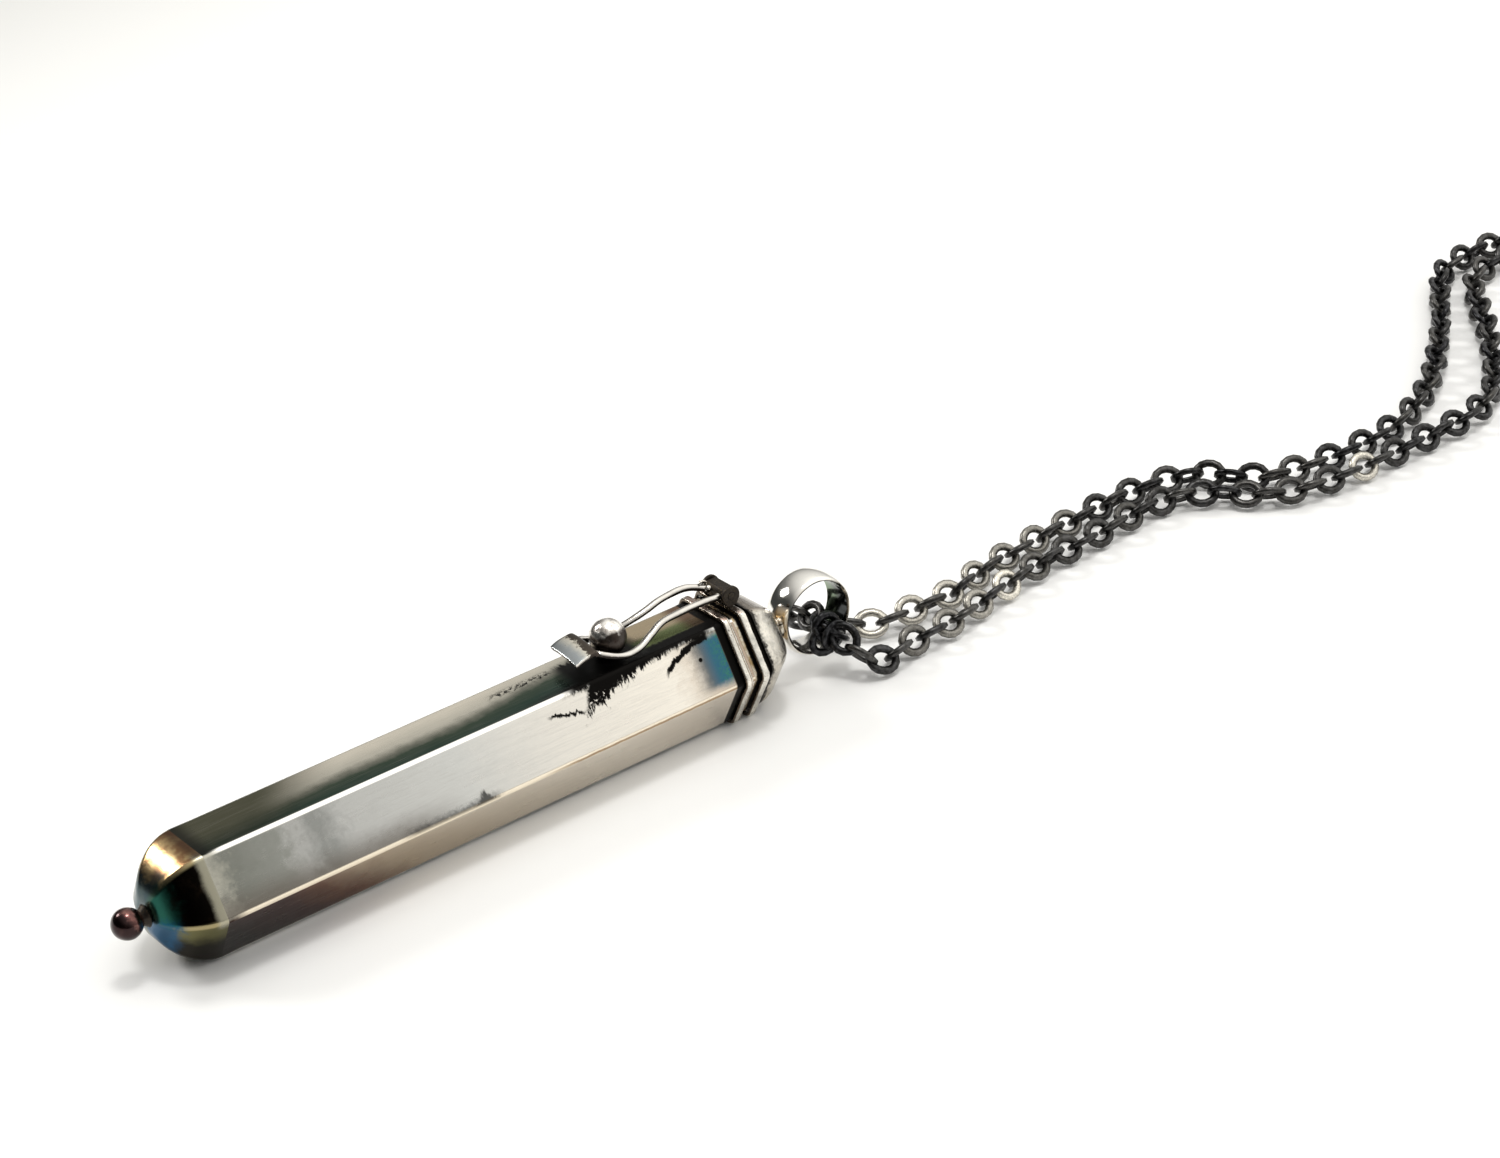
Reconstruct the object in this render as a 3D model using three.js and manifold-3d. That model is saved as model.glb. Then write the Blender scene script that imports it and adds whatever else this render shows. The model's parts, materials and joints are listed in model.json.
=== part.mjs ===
// Hexagonal silver vessel pendant with a pull-off cap, a wire latch and a cable chain.
// Millimetres, +Z up. The pendant lies on its side: its axis runs along +X, tip at -X, bail at +X,
// and the latch is on the top facet. Stations along the axis are counted from the joint between
// the tube and its end dome, and the whole group is shifted so that X = 0 is the middle.
import * as THREE from 'three';
import { mergeVertices } from 'three/addons/utils/BufferGeometryUtils.js';
import Module from 'manifold-3d';

const wasm = await Module();
wasm.setup();

// --- driving dimensions -------------------------------------------------------------------
const facetHalf = 5.0; // half the distance across the tube's flats
const bevelHalfAngle = THREE.MathUtils.degToRad(3.75); // half the angle of each worn corner
const tubeWall = 0.6;
const ringStand = 0.4; // how far the two hexagonal rings stand out of the tube
const axisHeight = facetHalf + ringStand; // the rings carry the pendant

const mouthRingStart = 53.0;
const mouthRingWidth = 0.8;
const mouthEdge = 54.2; // where the vessel ends and the cap begins
const seamGap = 0.05;

const linerFit = 0.08; // running clearance of the cap's liner in the tube
const linerWall = 0.5;
const linerReach = 4.5; // how far the liner goes into the tube
const capRingStart = 54.8;
const capRingWidth = 0.8;
const neckSink = 0.35; // how far the dark neck lies below the tube's flats
const capDomeStart = 56.3;
const capDomeApothem = 4.85;
const capDomeLength = 4.0;

const endDomeLength = 4.6;
const tipBeadRadius = 1.4;
const tipBeadStation = -6.3;

const bailStation = 64.75;
const bailRadius = 3.95;
const bailLift = 0.4; // its centre stands this far above the axis
const bailWall = 0.55;
const bailWidth = 3.1;

const knobStation = 42.9;
const knobRadius = 1.7;
const knobPostRadius = 0.9;
const knobPostHeight = 0.4;

const wireRadius = 0.33;
const hingeStation = 55.27;
const hingeRise = 1.4; // hinge axis above the top facet
const barrelRadius = 0.84;
const barrelHalf = 1.28;
const pinRadius = 0.37;
const pinClearance = 0.05;
const earThickness = 0.32;
const earGap = 0.06;
const earRadius = 0.93;

const chainRadius = 1.3; // envelope of the links
const chainRest = 1.4; // chain centre above the surface
const partGap = 0.3;

// --- materials ----------------------------------------------------------------------------
const metal = (color, roughness) => new THREE.MeshStandardMaterial({ color, roughness, metalness: 1 });
const silver = metal(0xb9b4a6, 0.3);
const darkSilver = metal(0x2a2724, 0.5);
const brightSilver = metal(0xd8d5cc, 0.15);
const heatTint = metal(0x6a5a38, 0.3);
const copper = metal(0x5c3a30, 0.35);
const gunmetal = metal(0x38373a, 0.35);
const tieCord = new THREE.MeshStandardMaterial({ color: 0x2b2b2b, roughness: 0.8, metalness: 0 });

// --- helpers ------------------------------------------------------------------------------
const assembly = new THREE.Group();

function addPart(name, geometry, material) {
  const part = new THREE.Mesh(geometry, material);
  part.name = name;
  assembly.add(part);
  return part;
}

// A profile of [station, apothem] pairs spun into a bevelled hexagon about the pendant's axis.
// The outside runs towards +X and a hollow piece's inside runs back.
function hexTurned(profile) {
  const sides = 6;
  const points = profile.map(([station, apothem]) => new THREE.Vector2(apothem, station));
  const geometry = new THREE.LatheGeometry(points, 2 * sides);
  const position = geometry.attributes.position;
  const cornerStretch = 1 / Math.cos(Math.PI / sides - bevelHalfAngle);
  for (let index = 0; index < position.count; index += 1) {
    const column = Math.floor(index / points.length) % (2 * sides);
    const [station, apothem] = profile[index % points.length];
    const corner = Math.PI / sides + Math.floor(column / 2) * (2 * Math.PI / sides);
    const angle = corner + (column % 2 === 0 ? -bevelHalfAngle : bevelHalfAngle);
    const radius = apothem * cornerStretch;
    position.setXYZ(index, station, -radius * Math.sin(angle), axisHeight + radius * Math.cos(angle));
  }
  return geometry;
}

// A profile of [station, radius] pairs spun into a round piece about the pendant's axis.
function roundTurned(profile, segments) {
  const points = profile.map(([station, radius]) => new THREE.Vector2(radius, station));
  return new THREE.LatheGeometry(points, segments).rotateZ(-Math.PI / 2).translate(0, 0, axisHeight);
}

// A closed ring band: outside, then back along the inside.
const bandProfile = (start, end, inner, outer) => [
  [start, inner], [start, outer], [end, outer], [end, inner], [start, inner],
];

// A hexagonal ring of half-round wire that wraps the tube, with its crown worn flat.
function hexWireRing(start, width, inner, outer) {
  const steps = 5;
  const shoulder = 0.12;
  const crown = Math.sin(0.4 * Math.PI);
  const profile = [[start, inner]];
  for (let step = 0; step <= steps; step += 1) {
    const turn = Math.PI * (step / steps);
    const station = start + width / 2 - (width / 2) * Math.cos(turn);
    const rise = (outer - inner - shoulder) * (Math.sin(turn) / crown);
    profile.push([station, inner + shoulder + rise]);
  }
  profile.push([start + width, inner], [start, inner]);
  return hexTurned(profile);
}

// Outline drawn in the XZ plane and given a thickness across Y, centred on middleY.
function crossCut(shape, thickness, middleY, curveSegments = 12) {
  return new THREE.ExtrudeGeometry(shape, { depth: thickness, bevelEnabled: false, curveSegments })
    .rotateX(Math.PI / 2)
    .translate(0, middleY + thickness / 2, 0);
}

// A round wire, cord or tube along a smooth curve through points.
function wireAlong(points, radius, steps, sides) {
  const corners = points.map((point) => new THREE.Vector3(...point));
  const path = new THREE.CatmullRomCurve3(corners, false, 'centripetal');
  const section = new THREE.Shape();
  for (let side = 0; side < sides; side += 1) {
    const angle = (2 * Math.PI * side) / sides;
    const corner = [radius * Math.cos(angle), radius * Math.sin(angle)];
    if (side === 0) section.moveTo(...corner);
    else section.lineTo(...corner);
  }
  return new THREE.ExtrudeGeometry(section, { steps, bevelEnabled: false, extrudePath: path });
}

function toSolid(geometry) {
  const bare = geometry.clone();
  bare.deleteAttribute('normal');
  bare.deleteAttribute('uv');
  const merged = mergeVertices(bare, 1e-4);
  return new wasm.Manifold(new wasm.Mesh({
    numProp: 3,
    vertProperties: new Float32Array(merged.attributes.position.array),
    triVerts: new Uint32Array(merged.index.array),
  }));
}

function fromSolid(solid) {
  const mesh = solid.getMesh();
  const geometry = new THREE.BufferGeometry();
  geometry.setAttribute('position', new THREE.BufferAttribute(new Float32Array(mesh.vertProperties), 3));
  geometry.setIndex(new THREE.BufferAttribute(new Uint32Array(mesh.triVerts), 1));
  geometry.computeVertexNormals();
  return geometry;
}

const cutAway = (geometry, ...tools) => fromSolid(
  tools.reduce((solid, tool) => solid.subtract(toSolid(tool)), toSolid(geometry)),
);

// --- vessel: tube, end dome, tip ----------------------------------------------------------
const tubeInner = facetHalf - tubeWall;
addPart('vessel_tube', hexTurned(bandProfile(0, mouthEdge, tubeInner, facetHalf)), silver);

// Outer and inner profile of a hexagonal dome's shell. Fullness rounds its shoulders.
function domeShell(base, length, baseApothem, tipApothem, fullness) {
  const steps = 9;
  const outer = [];
  const inner = [];
  for (let step = 0; step <= steps; step += 1) {
    const along = step / steps;
    const swell = (1 - along ** fullness) ** (1 / fullness);
    outer.push([base + length * along, tipApothem + (baseApothem - tipApothem) * swell]);
    inner.push([base + (length - Math.sign(length) * tubeWall) * along, (baseApothem - tubeWall - 0.05) * swell]);
  }
  inner[steps][1] = 0;
  return [outer, inner];
}

const [endOuter, endInner] = domeShell(0, -endDomeLength, facetHalf, 1.15, 1.75);
const tipFace = endOuter[endOuter.length - 1][0];
addPart(
  'end_dome',
  hexTurned([[tipFace, 0], ...endOuter.reverse(), ...endInner]),
  heatTint,
);

const tipPostEnd = -5.3;
addPart(
  'tip_post',
  roundTurned([
    [tipPostEnd, 0], [tipPostEnd, 0.62], [tipPostEnd + 0.25, 0.72],
    [tipFace - 0.12, 0.95], [tipFace - 0.01, 1.05], [tipFace - 0.01, 0],
  ], 20),
  heatTint,
);

function beadProfile(centre, radius, from, to, steps) {
  const profile = [];
  for (let step = 0; step <= steps; step += 1) {
    const angle = from + (to - from) * (step / steps);
    profile.push([centre - radius * Math.cos(angle), radius * Math.sin(angle)]);
  }
  return profile;
}

const beadFace = tipPostEnd - 0.02; // the bead is cut flat where it meets its post
const beadFlat = Math.PI - Math.acos((beadFace - tipBeadStation) / tipBeadRadius);
const beadCurve = beadProfile(tipBeadStation, tipBeadRadius, 0, beadFlat, 12);
addPart(
  'tip_bead',
  roundTurned([...beadCurve, [beadCurve[beadCurve.length - 1][0], 0]], 24),
  copper,
);

addPart(
  'mouth_ring',
  hexWireRing(mouthRingStart, mouthRingWidth, facetHalf + 0.005, facetHalf + ringStand),
  silver,
);

// --- knob that the latch drops over -------------------------------------------------------
const topFacet = axisHeight + facetHalf;
const uprightTurned = (profile, segments) => new THREE.LatheGeometry(
  profile.map(([radius, height]) => new THREE.Vector2(radius, height)),
  segments,
).rotateX(Math.PI / 2).translate(knobStation, 0, topFacet);

addPart(
  'knob_post',
  uprightTurned([
    [0, 0.005], [knobPostRadius + 0.15, 0.005], [knobPostRadius, 0.15],
    [knobPostRadius, knobPostHeight], [0, knobPostHeight],
  ], 20),
  darkSilver,
);

const knobCentre = knobRadius - 0.05;
const knobProfile = [[0, knobPostHeight + 0.005]];
const knobSteps = 12;
const knobFlat = Math.acos((knobCentre - knobPostHeight - 0.005) / knobRadius);
for (let step = 0; step <= knobSteps; step += 1) {
  const angle = knobFlat + (Math.PI - knobFlat) * (step / knobSteps);
  const radius = step === knobSteps ? 0 : knobRadius * Math.sin(angle);
  knobProfile.push([radius, knobCentre - knobRadius * Math.cos(angle)]);
}
addPart('latch_knob', uprightTurned(knobProfile, 24), silver);

// --- cap: liner, collar, ring, dome, bail -------------------------------------------------
const linerOuter = tubeInner - linerFit;
const collarTop = facetHalf - 0.1;
addPart(
  'cap_liner',
  hexTurned(bandProfile(mouthEdge - linerReach, mouthEdge + seamGap + 0.3, linerOuter - linerWall, linerOuter)),
  silver,
);
const collarInner = linerOuter + 0.005;
addPart(
  'cap_collar',
  hexTurned([
    [mouthEdge + seamGap, collarInner],
    [mouthEdge + seamGap, collarTop],
    [capRingStart + capRingWidth + 0.03, collarTop],
    [capRingStart + capRingWidth + 0.03, facetHalf - neckSink],
    [capDomeStart - 0.01, facetHalf - neckSink],
    [capDomeStart - 0.01, linerOuter - linerWall],
    [mouthEdge + seamGap + 0.31, linerOuter - linerWall],
    [mouthEdge + seamGap + 0.31, collarInner],
    [mouthEdge + seamGap, collarInner],
  ]),
  darkSilver,
);
addPart('cap_ring', hexWireRing(capRingStart, capRingWidth, collarTop + 0.005, facetHalf + ringStand), silver);

const [capOuter, capInner] = domeShell(capDomeStart, capDomeLength, capDomeApothem, 1.0, 1.8);
const domeTop = capDomeStart + capDomeLength;
addPart('cap_dome', hexTurned([...capOuter, [domeTop, 0], ...capInner.reverse(), capOuter[0]]), silver);

const bailFace = bailStation - bailRadius;
addPart(
  'bail_seat',
  roundTurned([
    [domeTop + 0.01, 0], [domeTop + 0.01, 1.15], [domeTop + 0.15, 1.1], [bailFace - 0.12, 0.85],
    [bailFace - 0.01, 0.75], [bailFace - 0.01, 0],
  ], 20),
  heatTint,
);

const bailEdge = 0.12;
const bailInner = bailRadius - bailWall;
const bailBand = [
  [bailInner, -bailWidth / 2 + bailEdge], [bailInner + bailEdge, -bailWidth / 2],
  [bailRadius - bailEdge, -bailWidth / 2], [bailRadius, -bailWidth / 2 + bailEdge],
  [bailRadius, bailWidth / 2 - bailEdge], [bailRadius - bailEdge, bailWidth / 2],
  [bailInner + bailEdge, bailWidth / 2], [bailInner, bailWidth / 2 - bailEdge],
  [bailInner, -bailWidth / 2 + bailEdge],
].map(([radius, across]) => new THREE.Vector2(radius, across));
addPart('bail_ring', new THREE.LatheGeometry(bailBand, 48).translate(bailStation, 0, axisHeight + bailLift), brightSilver);

// --- hinge on the cap: two ears and the pin -----------------------------------------------
const hingeHeight = topFacet + hingeRise;
const alongY = (radius, half, segments = 20) => new THREE.CylinderGeometry(radius, radius, 2 * half, segments);
const pinHalf = barrelHalf + earGap + earThickness + 0.04;

// An ear is a disc on a short foot, which stands on the crown of the cap's ring.
function earShape() {
  const footHalf = 0.5;
  const footLevel = topFacet + ringStand + 0.01;
  const flare = THREE.MathUtils.degToRad(40);
  const shape = new THREE.Shape();
  shape.moveTo(hingeStation - footHalf, footLevel);
  shape.lineTo(hingeStation + footHalf, footLevel);
  shape.absarc(hingeStation, hingeHeight, earRadius, -flare, Math.PI + flare, false);
  shape.closePath();
  return shape;
}

const pinHole = alongY(pinRadius + 0.005, 3).translate(hingeStation, 0, hingeHeight);
for (const [name, side] of [['hinge_ear_front', -1], ['hinge_ear_back', 1]]) {
  const middle = side * (barrelHalf + earGap + earThickness / 2);
  addPart(name, cutAway(crossCut(earShape(), earThickness, middle), pinHole), darkSilver);
}
addPart('hinge_pin', alongY(pinRadius, pinHalf).translate(hingeStation, 0, hingeHeight), darkSilver);

// --- latch: barrel, wire loop, thumb tab --------------------------------------------------
const barrelFlat = 0.7; // the barrel's top is filed flat at this height above its axis
const flatAngle = Math.asin(barrelFlat / barrelRadius);
const barrelShape = new THREE.Shape();
barrelShape.absarc(hingeStation, hingeHeight, barrelRadius, Math.PI - flatAngle, 2 * Math.PI + flatAngle, false);
barrelShape.closePath();
const barrelBore = alongY(pinRadius + pinClearance, 3, 20).translate(hingeStation, 0, hingeHeight);
addPart('hinge_barrel', cutAway(crossCut(barrelShape, 2 * barrelHalf, 0), barrelBore), darkSilver);

// The loop's legs, from the barrel to the crossbar: station, half width, rise. The far leg bows
// up and out by the hinge, and both come down to the same waist around the knob.
const legEnd = hingeStation - barrelRadius + 0.12;
const waist = [
  [46.3, 1.66, 1.12], [44.9, 2.04, 0.66], [43.5, 2.16, 0.5], [42.2, 2.16, 0.86], [41.2, 1.98, 1.3], [40.6, 1.45, 1.5],
];
const nearLeg = [[legEnd, 0.9, 1.35], [52.3, 1.14, 1.68], [50.0, 1.24, 1.75], [47.9, 1.3, 1.62], ...waist];
const farLeg = [[legEnd, 0.9, 1.5], [52.6, 1.5, 2.08], [50.2, 1.62, 2.0], [48.0, 1.5, 1.58], ...waist];
const loopPoints = [
  ...nearLeg.map(([station, side, rise]) => [station, -side, topFacet + rise]),
  [40.45, 0, topFacet + 1.55],
  ...farLeg.map(([station, side, rise]) => [station, side, topFacet + rise]).reverse(),
];
const barrelClear = alongY(barrelRadius + 0.01, 3, 40).translate(hingeStation, 0, hingeHeight);
addPart('latch_loop', cutAway(wireAlong(loopPoints, wireRadius, 76, 10), barrelClear), silver);

// The tab's upper line in side view, from its free end to the side next to the knob.
const tabTop = [[38.1, 2.05], [38.8, 2.26], [39.6, 2.42], [40.35, 2.5], [40.76, 2.36], [40.86, 1.98]];
const tabThickness = 0.42;
const tabHalf = 2.1;
const tabShape = new THREE.Shape();
tabShape.moveTo(tabTop[0][0], topFacet + tabTop[0][1]);
tabShape.splineThru(tabTop.slice(1).map(([station, rise]) => new THREE.Vector2(station, topFacet + rise)));
tabShape.lineTo(tabTop[5][0] - tabThickness, topFacet + tabTop[5][1] - 0.06);
for (const [station, rise] of tabTop.slice(0, 4).reverse()) {
  tabShape.lineTo(station, topFacet + rise - tabThickness);
}
tabShape.closePath();
addPart('thumb_tab', crossCut(tabShape, 2 * tabHalf, 0, 4), silver);

// --- chain: two strands through the bail, and the hank that their free halves are folded into
const hankHeight = 2.0; // chain centre in the hank, which lies on its tie
const hankFold = 5.4; // radius of the inner strand's bend
const hankPitch = 3.0;
const hankStart = 186;
const hankRun = 33;
const hankMiddle = 5.5; // middle of the hank across Y
const outerLane = hankFold + hankPitch;

const backRoute = [
  [66.0, 0.2, axisHeight - 1.0], [66.05, 2.9, 3.9], [66.9, 4.2, 2.2], [68.9, 3.4, chainRest],
  [70.7, 1.6, chainRest], [72.6, 0.0, chainRest], [76.8, -0.5, chainRest], [81.0, -0.7, chainRest],
  [86.0, 0.5, chainRest], [92.4, 1.4, chainRest], [98.5, 1.8, chainRest], [104.5, 2.1, chainRest],
  [109.5, 1.7, chainRest], [113.6, 0.2, chainRest], [115.8, -2.6, chainRest], [118.2, -5.2, chainRest],
  [123.7, -6.6, chainRest], [130.5, -7.0, chainRest], [136.0, -6.2, chainRest], [141.5, -3.9, chainRest],
  [146.3, -0.9, chainRest], [150.7, 2.5, chainRest], [155.6, 6.6, chainRest], [160.3, 11.0, chainRest],
  [164.6, 14.8, chainRest], [169.5, 16.5, chainRest], [175.6, 16.4, chainRest], [181.0, 15.0, 1.8],
  [hankStart - partGap, hankMiddle + outerLane, hankHeight],
];
const frontRoute = [
  [66.0, -0.2, axisHeight - 1.0], [66.0, -3.0, 3.9], [66.8, -4.7, 2.3], [68.6, -5.7, chainRest],
  [72.3, -5.1, chainRest], [76.7, -4.9, chainRest], [81.0, -4.2, chainRest], [85.5, -3.3, chainRest],
  [91.0, -2.3, chainRest], [96.0, -2.1, chainRest], [101.0, -1.7, chainRest], [105.5, -1.3, chainRest],
  [109.3, -1.9, chainRest], [112.4, -4.0, chainRest], [114.6, -6.9, chainRest], [117.9, -9.1, chainRest],
  [124.0, -10.4, chainRest], [131.0, -10.6, chainRest], [137.0, -10.6, chainRest], [142.3, -10.2, chainRest],
  [146.8, -8.3, chainRest], [150.6, -5.3, chainRest], [154.6, -1.4, chainRest], [158.6, 3.0, chainRest],
  [162.2, 7.4, chainRest], [165.9, 11.2, chainRest], [170.5, 13.1, chainRest], [176.0, 12.9, chainRest],
  [181.0, 11.8, 1.8], [hankStart - partGap, hankMiddle + hankFold, hankHeight],
];
const strandSteps = 60;
addPart('chain_strand_back', wireAlong(backRoute, chainRadius, strandSteps, 8), gunmetal);
addPart('chain_strand_front', wireAlong(frontRoute, chainRadius, strandSteps, 8), gunmetal);

const hankOuter = outerLane + chainRadius;
const hankInner = hankFold - chainRadius;
const hankBend = hankStart + hankRun;
const hankShape = new THREE.Shape();
hankShape.moveTo(hankStart, hankMiddle + hankOuter);
hankShape.lineTo(hankStart, hankMiddle + hankInner);
hankShape.lineTo(hankBend, hankMiddle + hankInner);
hankShape.absarc(hankBend, hankMiddle, hankInner, Math.PI / 2, -Math.PI / 2, true);
hankShape.lineTo(hankStart, hankMiddle - hankInner);
hankShape.lineTo(hankStart, hankMiddle - hankOuter);
hankShape.lineTo(hankBend, hankMiddle - hankOuter);
hankShape.absarc(hankBend, hankMiddle, hankOuter, -Math.PI / 2, Math.PI / 2, false);
hankShape.closePath();
addPart(
  'chain_hank',
  new THREE.ExtrudeGeometry(hankShape, { depth: 2 * chainRadius, bevelEnabled: false, curveSegments: 16 })
    .translate(0, 0, hankHeight - chainRadius),
  gunmetal,
);

// The tie is a flat band around both sides of the hank.
const tieStation = 203;
const tieWidth = 1.6;
const tieThickness = 0.38;
const tieGap = 0.32;
const boxAt = (low, high) => new THREE.BoxGeometry(
  high[0] - low[0],
  high[1] - low[1],
  high[2] - low[2],
).translate((low[0] + high[0]) / 2, (low[1] + high[1]) / 2, (low[2] + high[2]) / 2);
const tieReach = hankOuter + tieGap;
const tieTop = hankHeight + chainRadius + tieGap;
const tieBlock = boxAt(
  [tieStation, hankMiddle - tieReach - tieThickness, 0],
  [tieStation + tieWidth, hankMiddle + tieReach + tieThickness, tieTop + tieThickness],
);
const tieHole = boxAt(
  [tieStation - 1, hankMiddle - tieReach, tieThickness],
  [tieStation + tieWidth + 1, hankMiddle + tieReach, tieTop],
);
addPart('hank_tie', cutAway(tieBlock, tieHole), tieCord);

// --- clasp on the outer strand, end ring on the inner one -----------------------------------
const ringWire = 0.3;
const ringRadius = 1.1;
const claspLow = 0.1;
const claspThickness = 1.8;
const claspMiddle = claspLow + claspThickness / 2;

const flatRing = (station, across) => new THREE.TorusGeometry(ringRadius, ringWire, 8, 28)
  .translate(station, across, claspMiddle);

const ringStation = hankStart - partGap - ringRadius - ringWire;
const eyeStation = 0.7; // the eye's centre, from the clasp's tail
const clasp = new THREE.Group();
clasp.position.set(ringStation - ringRadius + eyeStation, hankMiddle - outerLane, 0);
clasp.rotation.z = Math.PI; // the hook points towards the pendant

function addClaspPart(name, geometry, material) {
  const part = new THREE.Mesh(geometry, material);
  part.name = name;
  clasp.add(part);
}

const hookCentre = 7.0;
const hookOuter = 2.8;
const hookInner = 1.6;
const degrees = THREE.MathUtils.degToRad;
const hookShape = new THREE.Shape();
hookShape.moveTo(0, -0.5);
hookShape.lineTo(1.7, -0.5);
hookShape.lineTo(2.3, -1.6);
hookShape.absarc(hookCentre, 0, hookOuter, degrees(-140), degrees(75), false);
hookShape.absarc(hookCentre, 0, hookInner, degrees(75), degrees(-150), true);
hookShape.lineTo(4.3, -0.5);
hookShape.lineTo(4.3, 1.55);
hookShape.lineTo(2.3, 1.55);
hookShape.lineTo(1.7, 0.5);
hookShape.lineTo(0, 0.5);
hookShape.closePath();

const pivot = [3.3, 0.95];
const rivetRadius = 0.3;
const alongZ = (radius, low, high) => new THREE.CylinderGeometry(radius, radius, high - low, 16)
  .rotateX(Math.PI / 2)
  .translate(...pivot, (low + high) / 2);
const slotLow = claspMiddle - 0.5;
const slotHigh = claspMiddle + 0.5;
addClaspPart(
  'clasp_body',
  cutAway(
    new THREE.ExtrudeGeometry(hookShape, { depth: claspThickness, bevelEnabled: false, curveSegments: 16 })
      .translate(0, 0, claspLow),
    boxAt([1.9, 0.2, slotLow], [4.5, 1.8, slotHigh]),
    alongZ(rivetRadius + 0.005, -1, 3),
    new THREE.CylinderGeometry(0.46, 0.46, 4, 16).translate(eyeStation, 0, claspMiddle),
  ),
  darkSilver,
);

const triggerShape = new THREE.Shape();
for (const [index, corner] of [
  [2.2, 2.05], [2.7, 0.65], [3.3, 0.35], [4.3, 0.7], [7.2, 0.95], [7.2, 1.42], [4.4, 1.8], [3.4, 2.1], [2.6, 2.6],
].entries()) {
  if (index === 0) triggerShape.moveTo(...corner);
  else triggerShape.lineTo(...corner);
}
triggerShape.closePath();
addClaspPart(
  'clasp_trigger',
  cutAway(
    new THREE.ExtrudeGeometry(triggerShape, { depth: 0.8, bevelEnabled: false })
      .translate(0, 0, claspMiddle - 0.4),
    alongZ(rivetRadius + pinClearance, -1, 3),
  ),
  darkSilver,
);
addClaspPart('clasp_rivet', alongZ(rivetRadius, claspLow, claspLow + claspThickness), darkSilver);
assembly.add(clasp);

addPart('clasp_ring', flatRing(ringStation, hankMiddle - outerLane), darkSilver);
addPart('end_ring', flatRing(ringStation, hankMiddle - hankFold), darkSilver);

// --- the middle of the pendant, without its chain, is X = 0 -----------------------------------
const pendantLow = tipBeadStation - tipBeadRadius;
const pendantHigh = bailStation + bailRadius;
assembly.position.x = -(pendantLow + pendantHigh) / 2;

export default assembly;
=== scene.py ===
import bpy
import bmesh
import json
import math
import random
from mathutils import Euler, Matrix, Vector, noise

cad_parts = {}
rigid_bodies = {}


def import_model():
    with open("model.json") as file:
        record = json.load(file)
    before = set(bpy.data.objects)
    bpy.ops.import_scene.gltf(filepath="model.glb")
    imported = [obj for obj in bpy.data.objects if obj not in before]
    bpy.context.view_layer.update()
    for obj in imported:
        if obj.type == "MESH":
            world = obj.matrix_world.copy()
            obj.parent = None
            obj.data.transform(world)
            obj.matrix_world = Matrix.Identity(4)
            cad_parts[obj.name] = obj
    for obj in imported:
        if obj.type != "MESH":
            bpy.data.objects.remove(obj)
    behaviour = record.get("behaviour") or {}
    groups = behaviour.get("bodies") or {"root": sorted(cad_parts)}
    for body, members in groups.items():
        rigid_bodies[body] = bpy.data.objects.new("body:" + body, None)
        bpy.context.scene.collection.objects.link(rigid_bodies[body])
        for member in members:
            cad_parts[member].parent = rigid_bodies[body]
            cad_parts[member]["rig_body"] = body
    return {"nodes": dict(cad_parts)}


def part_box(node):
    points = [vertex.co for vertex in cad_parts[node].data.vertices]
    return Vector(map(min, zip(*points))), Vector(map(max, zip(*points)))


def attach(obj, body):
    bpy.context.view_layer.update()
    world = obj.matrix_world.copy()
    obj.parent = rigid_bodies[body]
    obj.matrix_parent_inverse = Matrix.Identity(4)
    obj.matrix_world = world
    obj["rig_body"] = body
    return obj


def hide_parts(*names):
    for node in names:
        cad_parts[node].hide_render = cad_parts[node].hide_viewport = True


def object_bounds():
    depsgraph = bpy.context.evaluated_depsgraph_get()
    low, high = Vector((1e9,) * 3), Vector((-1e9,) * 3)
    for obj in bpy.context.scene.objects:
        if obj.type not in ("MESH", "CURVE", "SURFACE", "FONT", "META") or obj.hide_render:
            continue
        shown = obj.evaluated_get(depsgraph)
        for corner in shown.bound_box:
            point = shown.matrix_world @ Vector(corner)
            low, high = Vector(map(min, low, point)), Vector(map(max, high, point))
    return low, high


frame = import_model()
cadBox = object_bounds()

mm = 0.001
scene = bpy.context.scene

# places that the CAD frame gives: everything below is worked out from these
tubeLow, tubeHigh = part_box("vessel_tube")
tubeStart = tubeLow.x
mouth = tubeHigh.x
axisHeight = (tubeLow.z + tubeHigh.z) / 2
facetHalf = (tubeHigh.z - tubeLow.z) / 2
topFacet = tubeHigh.z


cameraSetup = {"spot": (-0.1358, -0.2318, 0.1649), "aim": (0.0405, 0.0175, 0.0), "roll": -5.3, "lens": 86.4}


def setCamera():
    lens = bpy.data.cameras.new("camera")
    lens.lens = cameraSetup["lens"]
    lens.sensor_width = 36
    lens.clip_start = 0.01
    lens.clip_end = 20
    lens.dof.use_dof = False
    rig = bpy.data.objects.new("camera", lens)
    scene.collection.objects.link(rig)
    spot, aim = Vector(cameraSetup["spot"]), Vector(cameraSetup["aim"])
    turn = (aim - spot).to_track_quat("-Z", "Y").to_matrix().to_4x4()
    turn = turn @ Matrix.Rotation(math.radians(cameraSetup["roll"]), 4, "Z")
    rig.matrix_world = Matrix.Translation(spot) @ turn
    scene.camera = rig


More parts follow.
